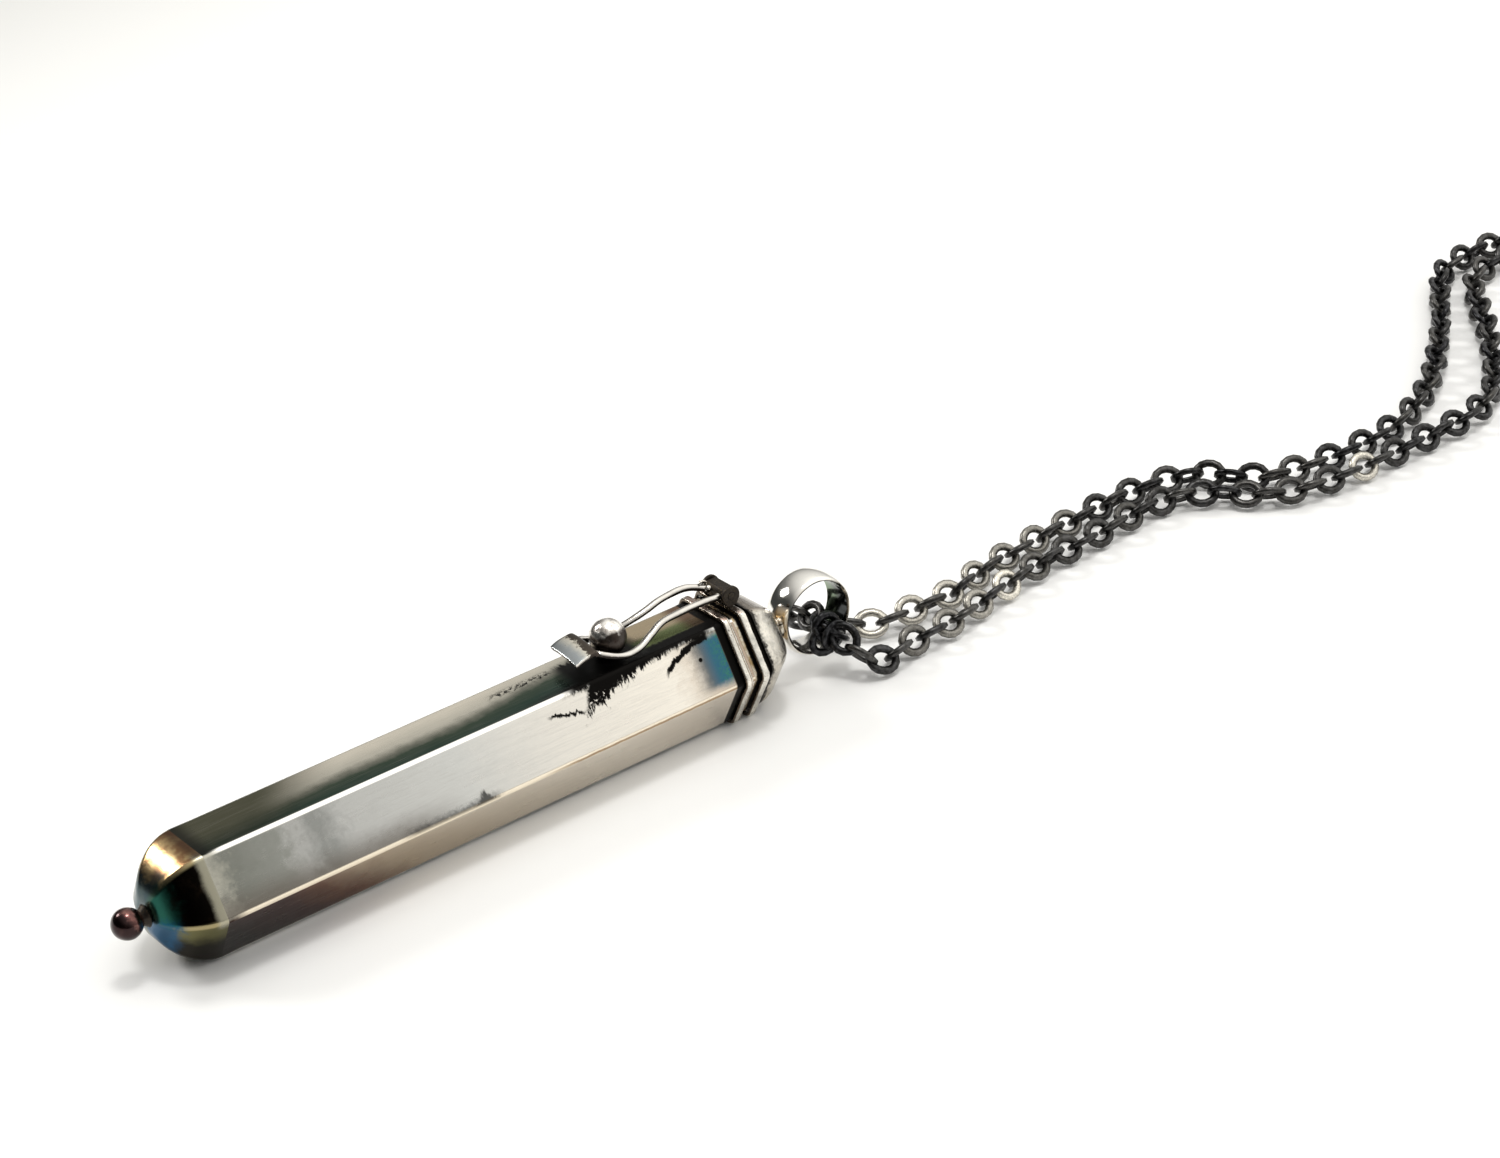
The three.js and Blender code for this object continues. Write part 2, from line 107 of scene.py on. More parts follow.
lightSetup = {
    "windowLeft": {"spot": (-0.27, 0.56, 0.48), "size": 0.20, "power": 2.5, "tint": (1.0, 0.985, 0.96)},
    "overhead": {"spot": (0.08, -0.02, 0.80), "size": 0.16, "power": 1.6, "tint": (1.0, 0.99, 0.97)},
}
roomSetup = {  # brightness of the room from its dark side to the side that the big soft panel is on
    "panelSide": (0.60, -0.20, 0.77), "strength": 1.0,
    "stops": [(0.46, (0.05, 0.052, 0.05)), (0.60, (0.20, 0.20, 0.195)), (0.72, (0.62, 0.61, 0.59)),
              (0.85, (0.98, 0.97, 0.94)), (0.97, (1.6, 1.58, 1.52))],
}


def setLights():
    for name, setup in lightSetup.items():
        lamp = bpy.data.lights.new(name, "AREA")
        lamp.shape = "SQUARE"
        lamp.size = setup["size"]
        lamp.energy = setup["power"]
        lamp.color = setup["tint"]
        holder = bpy.data.objects.new(name, lamp)
        scene.collection.objects.link(holder)
        spot = Vector(setup["spot"])
        holder.location = spot
        holder.rotation_mode = "QUATERNION"
        holder.rotation_quaternion = (Vector((0.03, 0, 0)) - spot).to_track_quat("-Z", "Y")


def setStops(ramp, stops):
    while len(ramp.elements) < len(stops):
        ramp.elements.new(1.0)
    for element, (spot, colour) in zip(ramp.elements, stops):
        element.position = spot
        element.color = (*colour, 1.0)


class Flow:  # one socket: + - * / on it add Math nodes
    def __init__(self, paint, socket):
        self.paint = paint
        self.socket = socket

    def take(self, outName):
        return Flow(self.paint, self.socket.node.outputs[outName])

    def math(self, operation, other=None, flip=False):
        pair = [other, self] if flip else [self, other]
        links = {place: value for place, value in enumerate(pair) if value is not None}
        return self.paint.add("ShaderNodeMath", {"operation": operation}, links)

    def __add__(self, other):
        return self.math("ADD", other)

    def __sub__(self, other):
        return self.math("SUBTRACT", other)

    def __mul__(self, other):
        return self.math("MULTIPLY", other)

    def __truediv__(self, other):
        return self.math("DIVIDE", other)

    def __rsub__(self, other):
        return self.math("SUBTRACT", other, flip=True)

    def __neg__(self):
        return self.math("MULTIPLY", -1.0)

    __radd__ = __add__
    __rmul__ = __mul__

    def size(self):
        return self.math("ABSOLUTE")

    def most(self, other):
        return self.math("MAXIMUM", other)

    def least(self, other):
        return self.math("MINIMUM", other)

    def rise(self, low, high):  # 0 below low, 1 above high, smooth between
        return self.paint.add(
            "ShaderNodeMapRange",
            {"interpolation_type": "SMOOTHSTEP"},
            {"Value": self, "From Min": low, "From Max": high},
        )

    def fall(self, low, high):
        return 1.0 - self.rise(low, high)

    def between(self, low, high, soft):
        return self.rise(low - soft, low + soft) * self.fall(high - soft, high + soft)


class Paint:  # one material, read in millimetres of the object's own space
    def __init__(self, name, fixed):
        self.material = bpy.data.materials.new(name)
        self.material.use_nodes = True
        self.tree = self.material.node_tree
        self.shader = self.tree.nodes["Principled BSDF"]
        for socketName, value in fixed.items():
            self.shader.inputs[socketName].default_value = value
        spot = self.add("ShaderNodeTexCoord", {}, {}, "Object")
        skyward = self.add("ShaderNodeSeparateXYZ", {}, {"Vector": spot.take("Normal")}, "Z")
        self.normalX, self.normalY, self.normalZ = skyward.take("X"), skyward.take("Y"), skyward
        self.place = self.add("ShaderNodeVectorMath", {"operation": "SCALE"}, {"Vector": spot, "Scale": 1 / mm})
        self.x = self.add("ShaderNodeSeparateXYZ", {}, {"Vector": self.place}, "X")
        self.y, self.z = self.x.take("Y"), self.x.take("Z")
        self.station = self.x - tubeStart / mm

    def add(self, kind, settings, links, out=0):
        node = self.tree.nodes.new(kind)
        for key, value in settings.items():
            if key == "stops":
                setStops(node.color_ramp, value)
            else:
                setattr(node, key, value)
        for key, value in links.items():
            socket = node.inputs[key]
            if isinstance(value, Flow):
                self.tree.links.new(value.socket, socket)
            else:
                socket.default_value = value
        return Flow(self, node.outputs[out])

    def noise(self, scale, detail=4.0, rough=0.55, stretch=(1, 1, 1), shift=(0, 0, 0), bend=0.0):
        spot = self.add("ShaderNodeMapping", {}, {"Vector": self.place, "Scale": stretch, "Location": shift})
        return self.add(
            "ShaderNodeTexNoise",
            {},
            {"Vector": spot, "Scale": scale, "Detail": detail, "Roughness": rough, "Distortion": bend},
        )

    def blend(self, factor, first, second):
        colours = [(*c, 1.0) if isinstance(c, tuple) and len(c) == 3 else c for c in (first, second)]
        settings = {"data_type": "RGBA", "blend_type": "MIX", "clamp_factor": True}
        return self.add("ShaderNodeMix", settings, {0: factor, 6: colours[0], 7: colours[1]}, 2)

    def ramp(self, value, stops):
        return self.add("ShaderNodeValToRGB", {"stops": stops}, {"Fac": value}, "Color")

    def bump(self, height, depth, strength=1.0, under=None):
        links = {"Height": height, "Distance": depth * mm, "Strength": strength}
        if under is not None:
            links["Normal"] = under
        return self.add("ShaderNodeBump", {}, links, "Normal")

    def lay(self, colour, roughness, normal=None):
        for socketName, value in {"Base Color": colour, "Roughness": roughness, "Normal": normal}.items():
            if value is not None:
                self.tree.links.new(value.socket, self.shader.inputs[socketName])
        return self.material

    def around(self):  # degrees about the axis: 0 on the latch side, 60 on the next facet to the front
        height = self.z - axisHeight / mm
        return (-self.y).math("ARCTAN2", height) * (180 / math.pi)

    def scratches(self):  # fine brushing along the axis
        fine = self.noise(9.0, 3.0, 0.6, stretch=(0.05, 1, 1))
        coarse = self.noise(3.0, 2.0, 0.5, stretch=(0.04, 1, 1), shift=(0, 3, 1))
        return fine * 0.6 + coarse * 0.4


def setRoom():
    world = bpy.data.worlds.new("softRoom")
    world.use_nodes = True
    nodes, links = world.node_tree.nodes, world.node_tree.links
    sky = nodes["Background"]
    sky.inputs["Strength"].default_value = roomSetup["strength"]
    ways = nodes.new("ShaderNodeTexCoord")
    facing = nodes.new("ShaderNodeVectorMath")
    facing.operation = "DOT_PRODUCT"
    facing.inputs[1].default_value = Vector(roomSetup["panelSide"]).normalized() * 0.5
    shade = nodes.new("ShaderNodeValToRGB")
    setStops(shade.color_ramp, roomSetup["stops"])
    middle = nodes.new("ShaderNodeMath")
    middle.inputs[1].default_value = 0.5
    links.new(ways.outputs["Generated"], facing.inputs[0])
    links.new(facing.outputs["Value"], middle.inputs[0])
    links.new(middle.outputs[0], shade.inputs["Fac"])
    links.new(shade.outputs["Color"], sky.inputs["Color"])
    scene.world = world


patinaSetup = {  # stations along the tube in mm from the tip end, and places across a facet
    "facetEdge": 2.9, "facetSlope": (0.5, 0.866),
    "stain": 38.0, "stainReach": 2.45, "stainTaper": 0.28,
    "firstStreak": (33.8, 37.2), "secondStreak": (46.1, 51.2), "smudge": 25.4,
    "dot": (49.7, -0.7), "rim": (52.15, 53.4), "length": 54.0,
}


def paintTube():
    setup = patinaSetup
    p = Paint("patinaTube", {"Metallic": 1.0})
    s = p.station
    turn = p.around()
    height = p.z - axisHeight / mm
    onTop = turn.size().fall(28.5, 31.5)
    onFront = turn.between(30.0, 90.0, 1.5)
    onLow = turn.between(90.0, 150.0, 1.5)
    flat, steep = setup["facetSlope"]
    across = p.y * -flat - height * steep  # on the front facet: least at its latch side
    patches = p.noise(0.22, 5.0, 0.6)
    mottle = p.noise(0.9, 6.0, 0.65, shift=(7, 2, 5))
    feather = p.noise(1.5, 9.0, 0.74, stretch=(1.0, 0.30, 0.30), bend=0.5)
    ragged = p.noise(2.6, 7.0, 0.7)
    speck = p.noise(5.0, 6.0, 0.7)
    brush = p.scratches()

    front = p.ramp(
        s / setup["length"] + (mottle - 0.5) * 0.09,
        [(0.0, (0.40, 0.39, 0.33)), (0.035, (0.20, 0.205, 0.18)), (0.12, (0.27, 0.275, 0.25)),
         (0.15, (0.42, 0.42, 0.40)), (0.19, (0.27, 0.275, 0.26)), (0.24, (0.48, 0.48, 0.46)),
         (0.45, (0.60, 0.60, 0.575)), (0.62, (0.76, 0.73, 0.67)), (0.86, (0.88, 0.83, 0.74)),
         (0.93, (0.66, 0.57, 0.47)), (1.0, (0.45, 0.36, 0.28))],
    )
    lowShade = (across + (mottle - 0.5) * 1.3).rise(0.2, 2.7) * s.fall(17.0, 25.0)
    front = p.blend(lowShade * 0.75, front, (0.13, 0.11, 0.09))
    # the low facet: dark tip-end patina along its length, and painted shade that darkens it towards its bottom
    # edge near the floor
    low = p.ramp(
        s / setup["length"] + (patches - 0.5) * 0.12 - (p.y + 4.6) * 0.05,
        [(0.0, (0.012, 0.008, 0.006)), (0.13, (0.045, 0.012, 0.008)), (0.20, (0.16, 0.07, 0.035)),
         (0.30, (0.50, 0.41, 0.30)), (0.50, (0.66, 0.59, 0.49)), (0.75, (0.80, 0.74, 0.65)),
         (1.0, (0.74, 0.67, 0.58))],
    )
    drop = (s - 28.0).most(0.0) * 0.14 - 0.8  # the dark half of the top facet widens towards the cap
    shade = drop - p.y + (patches - 0.5) * 1.4 + (mottle - 0.5) * 0.8
    topTone = p.ramp(
        shade / 6.0 + 0.5,
        [(0.0, (0.84, 0.78, 0.66)), (0.30, (0.62, 0.59, 0.50)), (0.46, (0.20, 0.20, 0.16)),
         (0.58, (0.035, 0.060, 0.036)), (0.80, (0.012, 0.040, 0.026)), (1.0, (0.006, 0.012, 0.010))],
    )
    olive = p.blend(shade.rise(-1.5, 2.0), (0.085, 0.085, 0.050), (0.010, 0.022, 0.010))
    topTone = p.blend((s + shade * 0.8).fall(5.5, 14.5), topTone, olive)
    wireStrip = p.blend(p.y.rise(-0.4, 0.5), (0.16, 0.20, 0.07), (0.46, 0.37, 0.24))
    topTone = p.blend(s.rise(44.2, 46.2) * (p.y + ragged * 0.6).rise(-1.7, -1.1), topTone, wireStrip)
    topTone = p.blend(s.rise(49.8, 51.4) * 0.8, topTone, (0.10, 0.035, 0.018))
    rest = p.blend(patches.rise(0.42, 0.62), (0.60, 0.57, 0.51), (0.20, 0.18, 0.15))

    colour = p.blend(onTop, rest, topTone)
    colour = p.blend(onFront, colour, front)
    colour = p.blend(onLow, colour, low)
    # ridges: partly rubbed bare metal and partly painted highlight, near white, cream on the ridge between the
    # front and low facets
    ridge = (turn.size() - 30.0).size().least((turn.size() - 90.0).size()).least((turn.size() - 150.0).size())
    worn = ridge.fall(1.6, 2.8) * (s + mottle).rise(0.8, 2.6)
    ridgeWearAndHighlightTone = p.blend((turn - 90.0).size().fall(4.0, 8.0), (0.97, 0.95, 0.90), (0.90, 0.80, 0.64))
    colour = p.blend(worn * 0.92, colour, ridgeWearAndHighlightTone)
    goldLine = (turn - 91.0 + (mottle - 0.5) * 2.0).size().fall(0.7, 1.6) * s.rise(30.0, 36.0)
    colour = p.blend(goldLine * 0.8, colour, (0.24, 0.13, 0.045))
    colour = p.blend(brush.rise(0.40, 0.75) * 0.16, colour, (0.30, 0.28, 0.26))

    # black sulphide: under the latch it runs over the ridge and feathers down the front facet; under the thumb
    # tab the black is partly painted shadow
    wide = turn.between(24.0, 90.0, 1.0)
    fromEdge = across + setup["facetEdge"]
    reach = setup["stainReach"] - (s - setup["stain"]) * setup["stainTaper"] + (feather - 0.5) * 6.5
    leftEdge = s + (across + 2.7) * 0.5 + (ragged - 0.5) * 1.0
    gaps = (ragged - 0.58).rise(0.0, 0.02) * fromEdge.rise(0.9, 1.3)
    black = (reach - fromEdge).rise(-0.05, 0.15) * wide * leftEdge.rise(38.2, 38.6) * (1.0 - gaps)
    edgeBlack = (fromEdge - 0.4 + (feather - 0.5) * 2.0).fall(-0.2, 0.2) * wide * s.between(36.2, 52.0, 1.0)
    streakOne = (across + 1.5 - (s - 33.5) * 0.19 + (feather - 0.5) * 1.7).size().fall(0.09, 0.19)
    streakOne = streakOne * onFront * s.between(*setup["firstStreak"], 0.4)
    bend = ((51.5 - s) / 5.4).most(0.0).math("POWER", 2.2)
    streakTwo = (across + 2.45 - bend * 1.65 + (feather - 0.5) * 1.3).size().fall(0.20, 0.32)
    streakTwo = streakTwo * onFront * s.between(*setup["secondStreak"], 0.25)
    spike = (across - 1.75 + (feather - 0.5) * 2.0 - (s - setup["smudge"]).size() * 0.7).rise(-0.15, 0.35)
    tail = (across - 2.45 + (ragged - 0.5) * 1.2).rise(-0.5, 0.3) * s.between(17.5, 26.5, 1.2) * 0.8
    smudge = spike.most(tail) * onFront
    # painted shadow under the thumb tab, mixed with real sulphide
    tabShadowAndSulphide = onTop * (p.y - 1.4 + (feather - 0.5) * 3.0).fall(-0.4, 0.4) * s.between(37.6, 45.4, 0.8)
    nearHinge = onTop * (p.y + 1.5 + (ragged - 0.5) * 0.7).fall(-0.2, 0.2) * s.rise(44.0, 46.0)
    topMarks = (p.y - 1.3 + (ragged - 0.5) * 3.0).size().fall(0.15, 0.55)
    topMarks = topMarks * onTop * ragged.rise(0.46, 0.54) * s.between(31.0, 37.2, 0.8)
    rim = s.between(*setup["rim"], 0.1)
    black = black.most(edgeBlack).most(streakOne).most(streakTwo).most(smudge * 0.85).most(tabShadowAndSulphide)
    black = black.most(nearHinge).most(topMarks).most(rim).most(onTop * s.fall(0.2, 1.8) * 0.8)

    # torch colours by the mouth
    heat = onFront * (s + (mottle - 0.5) * 1.2).rise(48.2, 50.2) * s.fall(52.1, 52.3)
    heat = heat * (across + (mottle - 0.5) * 0.8).between(-2.5, 2.2, 0.5)
    heatTone = p.blend(s.rise(49.6, 51.2), (0.10, 0.12, 0.13), (0.009, 0.105, 0.185))
    heatTone = p.blend(speck.rise(0.42, 0.62) * s.rise(50.4, 52.0), heatTone, (0.02, 0.17, 0.12))
    colour = p.blend(heat * 0.95, colour, heatTone)
    dotAlong, dotAcross = s - setup["dot"][0], across - setup["dot"][1]
    black = black.most((dotAlong * dotAlong + dotAcross * dotAcross).fall(0.02, 0.06) * onFront)
    colour = p.blend(black, colour, (0.006, 0.0055, 0.005))

    rough = 0.17 + brush * 0.16 + (mottle - 0.5) * 0.10 + black * 0.22
    skin = p.bump(black + speck * 0.25, 0.02, 0.4, p.bump(brush, 0.008, 0.5))
    return p.lay(colour, rough, skin)


def paintEndDome():
    p = Paint("torchedDomePaintedReflection", {"Metallic": 1.0})
    s = p.station
    turn = p.around()
    patches = p.noise(0.8, 5.0, 0.6)
    speck = p.noise(5.0, 5.0, 0.7)
    top = p.blend(patches.rise(0.4, 0.6), (0.34, 0.19, 0.09), (0.56, 0.40, 0.20))
    # painted reflection: the front facet is painted near black as a dark reflection; the teal and blue by the
    # neck are torch colours
    front = p.blend(patches.rise(0.5, 0.75), (0.005, 0.004, 0.003), (0.020, 0.013, 0.008))
    low = p.blend((turn + patches * 20.0).rise(112.0, 135.0), (0.15, 0.14, 0.055), (0.015, 0.012, 0.006))
    colour = p.blend(turn.size().fall(28.0, 32.0), low, top)
    colour = p.blend(turn.between(32.0, 88.0, 2.0), colour, front)
    # ridges painted lighter gold, partly rubbed metal and partly painted highlight
    ridge = (turn.size() - 30.0).size().least((turn.size() - 90.0).size())
    colour = p.blend(ridge.fall(1.0, 4.0) * 0.6, colour, (0.44, 0.36, 0.20))
    neckZone = (s + (patches - 0.5) * 2.4 + (turn - 60.0).size() * 0.006).fall(-3.6, -2.6)
    blueSide = (turn + (speck - 0.5) * 40.0).rise(70.0, 100.0)
    neckTone = p.blend(blueSide, (0.02, 0.10, 0.075), (0.01, 0.075, 0.16))
    neckTone = p.blend(turn.fall(10.0, 35.0), neckTone, (0.012, 0.055, 0.075))
    colour = p.blend(neckZone * 0.92, colour, neckTone)
    # painted highlight: a pale band round the base, where the rounded edge into the tube catches light
    shoulderHighlight = (s + (patches - 0.5) * 0.5).rise(-1.1, -0.5)
    shoulderHighlight = shoulderHighlight * turn.between(24.0, 96.0, 4.0)
    colour = p.blend(shoulderHighlight * 0.9, colour, (0.40, 0.38, 0.29))
    colour = p.blend(turn.size().fall(26.0, 30.0) * s.rise(-1.3, -0.3) * 0.8, colour, (0.045, 0.020, 0.012))
    rough = 0.15 + speck * 0.14 + shoulderHighlight * 0.1
    return p.lay(colour, rough, p.bump(speck, 0.012, 0.4))


def paintSilver(name, pits, warmth, roughness, under=0.0):  # polished on top, black in its pits and underneath
    p = Paint(name, {"Metallic": 1.0})
    patches = p.noise(0.55, 5.0, 0.6)
    speck = p.noise(3.2, 6.0, 0.72)
    fine = p.noise(11.0, 4.0, 0.7)
    cream = p.blend(patches, (0.50, 0.48, 0.44), (0.90, 0.86, 0.78))
    colour = p.blend(patches.rise(0.55, 0.75) * warmth, cream, (0.30, 0.20, 0.10))
    pitted = speck.rise(0.70 - pits, 0.76 - pits)
    shaded = (p.normalZ + (speck - 0.5) * 0.7).fall(under - 0.25, under + 0.05)
    dark = pitted.most(shaded)
    colour = p.blend(dark * 0.95, colour, (0.022, 0.016, 0.011))
    rough = roughness + fine * 0.10 + dark * 0.25
    skin = p.bump(speck * -1.0, 0.05, 0.6, p.bump(fine, 0.01, 0.5))
    return p.lay(colour, rough, skin)


def paintRings():  # half-round bands, cream on their crowns, oxide in their pits; their flanks are dark, partly oxide and partly painted shade and reflection
    p = Paint("wornRings", {"Metallic": 1.0})
    patches = p.noise(0.5, 5.0, 0.6)
    speck = p.noise(4.2, 6.0, 0.72)
    crown = p.blend(patches.rise(0.35, 0.65), (0.56, 0.54, 0.49), (0.92, 0.88, 0.79))
    # flanks facing along the axis: partly oxide, partly painted shade and reflection
    flankOxideAndShade = (p.normalX + (speck - 0.5) * 0.5).size().rise(0.45, 0.75)
    colour = p.blend(flankOxideAndShade * 0.9, crown, (0.10, 0.065, 0.035))
    pitted = speck.rise(0.58, 0.64)
    colour = p.blend(pitted * 0.85, colour, (0.05, 0.042, 0.032))
    seam = (p.station - 53.55 + (patches - 0.5) * 0.2).size().fall(0.02, 0.07)
    colour = p.blend(seam * 0.8, colour, (0.16, 0.09, 0.03))
    hot = (p.normalZ - 0.8).rise(0.0, 0.1) * patches.rise(0.35, 0.6)
    colour = p.blend(hot * 0.8, colour, (0.16, 0.06, 0.035))
    rough = 0.14 + speck * 0.14 + pitted * 0.25
    return p.lay(colour, rough, p.bump(speck * -1.0, 0.06, 0.7))


def paintCapDome():
    p = Paint("wornDome", {"Metallic": 1.0})
    s = p.station
    turn = p.around()
    patches = p.noise(0.5, 5.0, 0.6)
    speck = p.noise(3.4, 6.0, 0.72)
    ragged = p.noise(1.6, 7.0, 0.72)
    colour = p.blend(patches.rise(0.35, 0.65), (0.42, 0.40, 0.36), (0.84, 0.80, 0.71))
    colour = p.blend(turn.size().fall(26.0, 34.0) * 0.75, colour, (0.17, 0.13, 0.095))
    colour = p.blend((turn + (patches - 0.5) * 60.0).rise(70.0, 115.0) * 0.5, colour, (0.26, 0.20, 0.12))
    base = (s + (ragged - 0.5) * 1.6).fall(56.4, 56.75)
    pitted = speck.rise(0.60, 0.66) * (s + (ragged - 0.5) * 2.0).fall(57.0, 58.4)
    tip = (s + (ragged - 0.5) * 1.4).rise(59.6, 60.4)
    dark = base.most(pitted)
    colour = p.blend(dark * 0.95, colour, (0.010, 0.009, 0.008))
    colour = p.blend(tip * 0.8, colour, (0.30, 0.19, 0.07))
    rough = 0.13 + speck * 0.10 + dark * 0.3
    return p.lay(colour, rough, p.bump(speck * -1.0, 0.05, 0.5))


def paintWire():
    p = Paint("latchWire", {"Metallic": 1.0})
    patches = p.noise(0.7, 5.0, 0.6)
    speck = p.noise(4.0, 6.0, 0.7)
    lean = p.normalZ * 0.80 - p.normalY * 0.60  # how far the surface turns to the front and the top
    colour = p.blend(patches, (0.42, 0.40, 0.37), (0.80, 0.77, 0.72))
    # painted reflection: a dark line along the top between two bright bands, not a groove in the wire
    reflectionGap = (lean - 0.66 + (speck - 0.5) * 0.18).size().fall(0.08, 0.18)
    colour = p.blend(reflectionGap * 0.8, colour, (0.10, 0.08, 0.07))
    # painted shade: the underside is painted near black
    under = (p.normalZ + (speck - 0.5) * 0.35).fall(0.08, 0.34)
    colour = p.blend(under * 0.96, colour, (0.010, 0.007, 0.006))
    return p.lay(colour, 0.12 + speck * 0.10 + under * 0.2, p.bump(speck, 0.02, 0.4))


def paintTab():
    p = Paint("thumbTab", {"Metallic": 1.0})
    s = p.station
    patches = p.noise(0.8, 5.0, 0.6)
    ragged = p.noise(1.7, 7.0, 0.72)
    speck = p.noise(4.0, 6.0, 0.7)
    colour = p.blend((s + (patches - 0.5) * 0.8).rise(38.6, 39.9), (0.40, 0.43, 0.44), (0.86, 0.81, 0.68))
    colour = p.blend(p.normalX.fall(-0.75, -0.45), colour, (0.98, 0.97, 0.94))
    colour = p.blend(p.normalY.fall(-0.75, -0.45) * 0.9, colour, (0.86, 0.82, 0.76))
    dark = (s - 39.6 - p.y * 0.08 + (ragged - 0.5) * 2.4).rise(-0.1, 0.15)
    # besides the ragged patina near the knob, the underside is painted shade
    dark = dark.most((ragged - 0.60).rise(0.0, 0.03) * s.rise(38.7, 39.3)).most(p.normalZ.fall(-0.3, 0.0))
    colour = p.blend(dark * 0.95, colour, (0.022, 0.012, 0.008))
    return p.lay(colour, 0.13 + speck * 0.12 + dark * 0.25, p.bump(speck, 0.015, 0.4))


def paintKnob():
    p = Paint("hammeredSilver", {"Metallic": 1.0})
    patches = p.noise(1.1, 5.0, 0.6)
    speck = p.noise(3.2, 6.0, 0.7)
    colour = p.blend(patches.rise(0.35, 0.65), (0.48, 0.44, 0.40), (0.95, 0.92, 0.87))
    colour = p.blend(speck.rise(0.56, 0.66) * 0.7, colour, (0.16, 0.10, 0.075))
    # painted shade and reflection: the side facing down and to the front is painted near black
    side = p.normalZ + p.normalX * -0.10 + p.normalY * 0.30 + (patches - 0.5) * 0.9
    under = side.fall(0.15, 0.50)
    colour = p.blend(under * 0.95, colour, (0.020, 0.012, 0.009))
    return p.lay(colour, 0.16 + speck * 0.12 + under * 0.15, p.bump(patches, 0.10, 0.5))


def paintBlack(name, brown=0.0, roughness=0.38):  # oxidised to black, rubbed on its high spots
    p = Paint(name, {"Metallic": 0.85})
    patches = p.noise(1.4, 5.0, 0.65)
    fine = p.noise(8.0, 5.0, 0.7)
    colour = p.blend(patches, (0.012, 0.011, 0.010), (0.045, 0.036, 0.028))
    colour = p.blend(fine.rise(0.52, 0.72) * (0.35 + brown), colour, (0.22, 0.16, 0.08))
    return p.lay(colour, roughness + fine * 0.2, p.bump(fine, 0.03, 0.6, p.bump(patches, 0.08, 0.5)))


def paintCollar():  # bright where it meets the vessel's mouth, black in the neck under the dome
    p = Paint("collarMetal", {"Metallic": 1.0})
    patches = p.noise(0.8, 5.0, 0.6)
    speck = p.noise(4.0, 6.0, 0.7)
    bright = p.blend(patches.rise(0.4, 0.6), (0.62, 0.57, 0.47), (0.34, 0.24, 0.12))
    neck = (p.station + (speck - 0.5) * 0.25).rise(54.45, 54.62)
    colour = p.blend(neck, bright, (0.008, 0.007, 0.006))
    return p.lay(colour, 0.18 + speck * 0.2 + neck * 0.2, p.bump(speck, 0.02, 0.5))


def paintBail():
    p = Paint("polishedBail", {"Metallic": 1.0})
    patches = p.noise(0.5, 4.0, 0.55)
    fine = p.noise(7.0, 4.0, 0.65)
    colour = p.blend(patches, (0.80, 0.78, 0.73), (0.93, 0.91, 0.86))
    rub = p.noise(2.5, 3.0, 0.6, stretch=(1, 0.15, 1))
    colour = p.blend(rub.rise(0.62, 0.8) * 0.4, colour, (0.34, 0.32, 0.26))
    low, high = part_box("bail_ring")
    inner = ((high.z - low.z) / 2 - bailSetup["wall"]) / mm
    fromMiddle = p.x - (low.x + high.x) / 2 / mm
    height = p.z - (low.z + high.z) / 2 / mm
    radius = (fromMiddle * fromMiddle + height * height).math("SQRT")
    # painted reflection: the right and upper inside of the ring is painted dark, turning green towards the far
    # rim
    inside = radius.fall(inner + 0.05, inner + 0.2)
    depth = p.y + (patches - 0.5) * 0.8
    green = p.blend(depth.rise(-0.6, 0.9), (0.008, 0.012, 0.016), (0.16, 0.22, 0.14))
    colour = p.blend(inside * (fromMiddle + height * 0.5).rise(0.2, 1.6) * 0.95, colour, green)
    gold = (p.normalY + 0.75).fall(0.0, 0.2) * patches.rise(0.4, 0.6)
    colour = p.blend(gold * 0.4, colour, (0.55, 0.42, 0.26))
    return p.lay(colour, 0.05 + fine * 0.05 + rub * 0.04, p.bump(fine, 0.003, 0.4))


def paintBead():
    p = Paint("copperBead", {"Metallic": 1.0, "Coat Weight": 0.3, "Coat Roughness": 0.1})
    patches = p.noise(0.9, 5.0, 0.6)
    coppers = [(0.3, (0.05, 0.022, 0.020)), (0.5, (0.13, 0.055, 0.048)), (0.68, (0.42, 0.22, 0.18))]
    colour = p.ramp(patches, coppers)
    # painted light and shade: the lower side away from +X is painted near black, leaving the top and +X side
    # copper
    side = p.normalX * 0.8 + p.normalZ * 0.45 + (patches - 0.5) * 0.8
    colour = p.blend(side.fall(0.0, 0.35) * 0.92, colour, (0.018, 0.008, 0.009))
    return p.lay(colour, 0.16 + patches * 0.1, p.bump(patches, 0.05, 0.4))


def paintChain():
    p = Paint("gunmetalChain", {"Metallic": 1.0})
    shine = p.add("ShaderNodeAttribute", {"attribute_name": "shine"}, {}, "Fac")
    rub = p.noise(2.2, 4.0, 0.6)
    fine = p.noise(9.0, 4.0, 0.7)
    dark = p.blend(rub.rise(0.35, 0.65), (0.010, 0.010, 0.011), (0.050, 0.050, 0.053))
    bright = p.blend(fine.rise(0.4, 0.6), (0.50, 0.48, 0.43), (0.92, 0.87, 0.76))
    # links are lighter at random where rubbed, and the listed face-on links get painted highlights
    colour = p.blend(shine * (0.70 + rub * 0.5), dark, bright)
    return p.lay(colour, 0.26 + fine * 0.14, p.bump(fine, 0.012, 0.5))


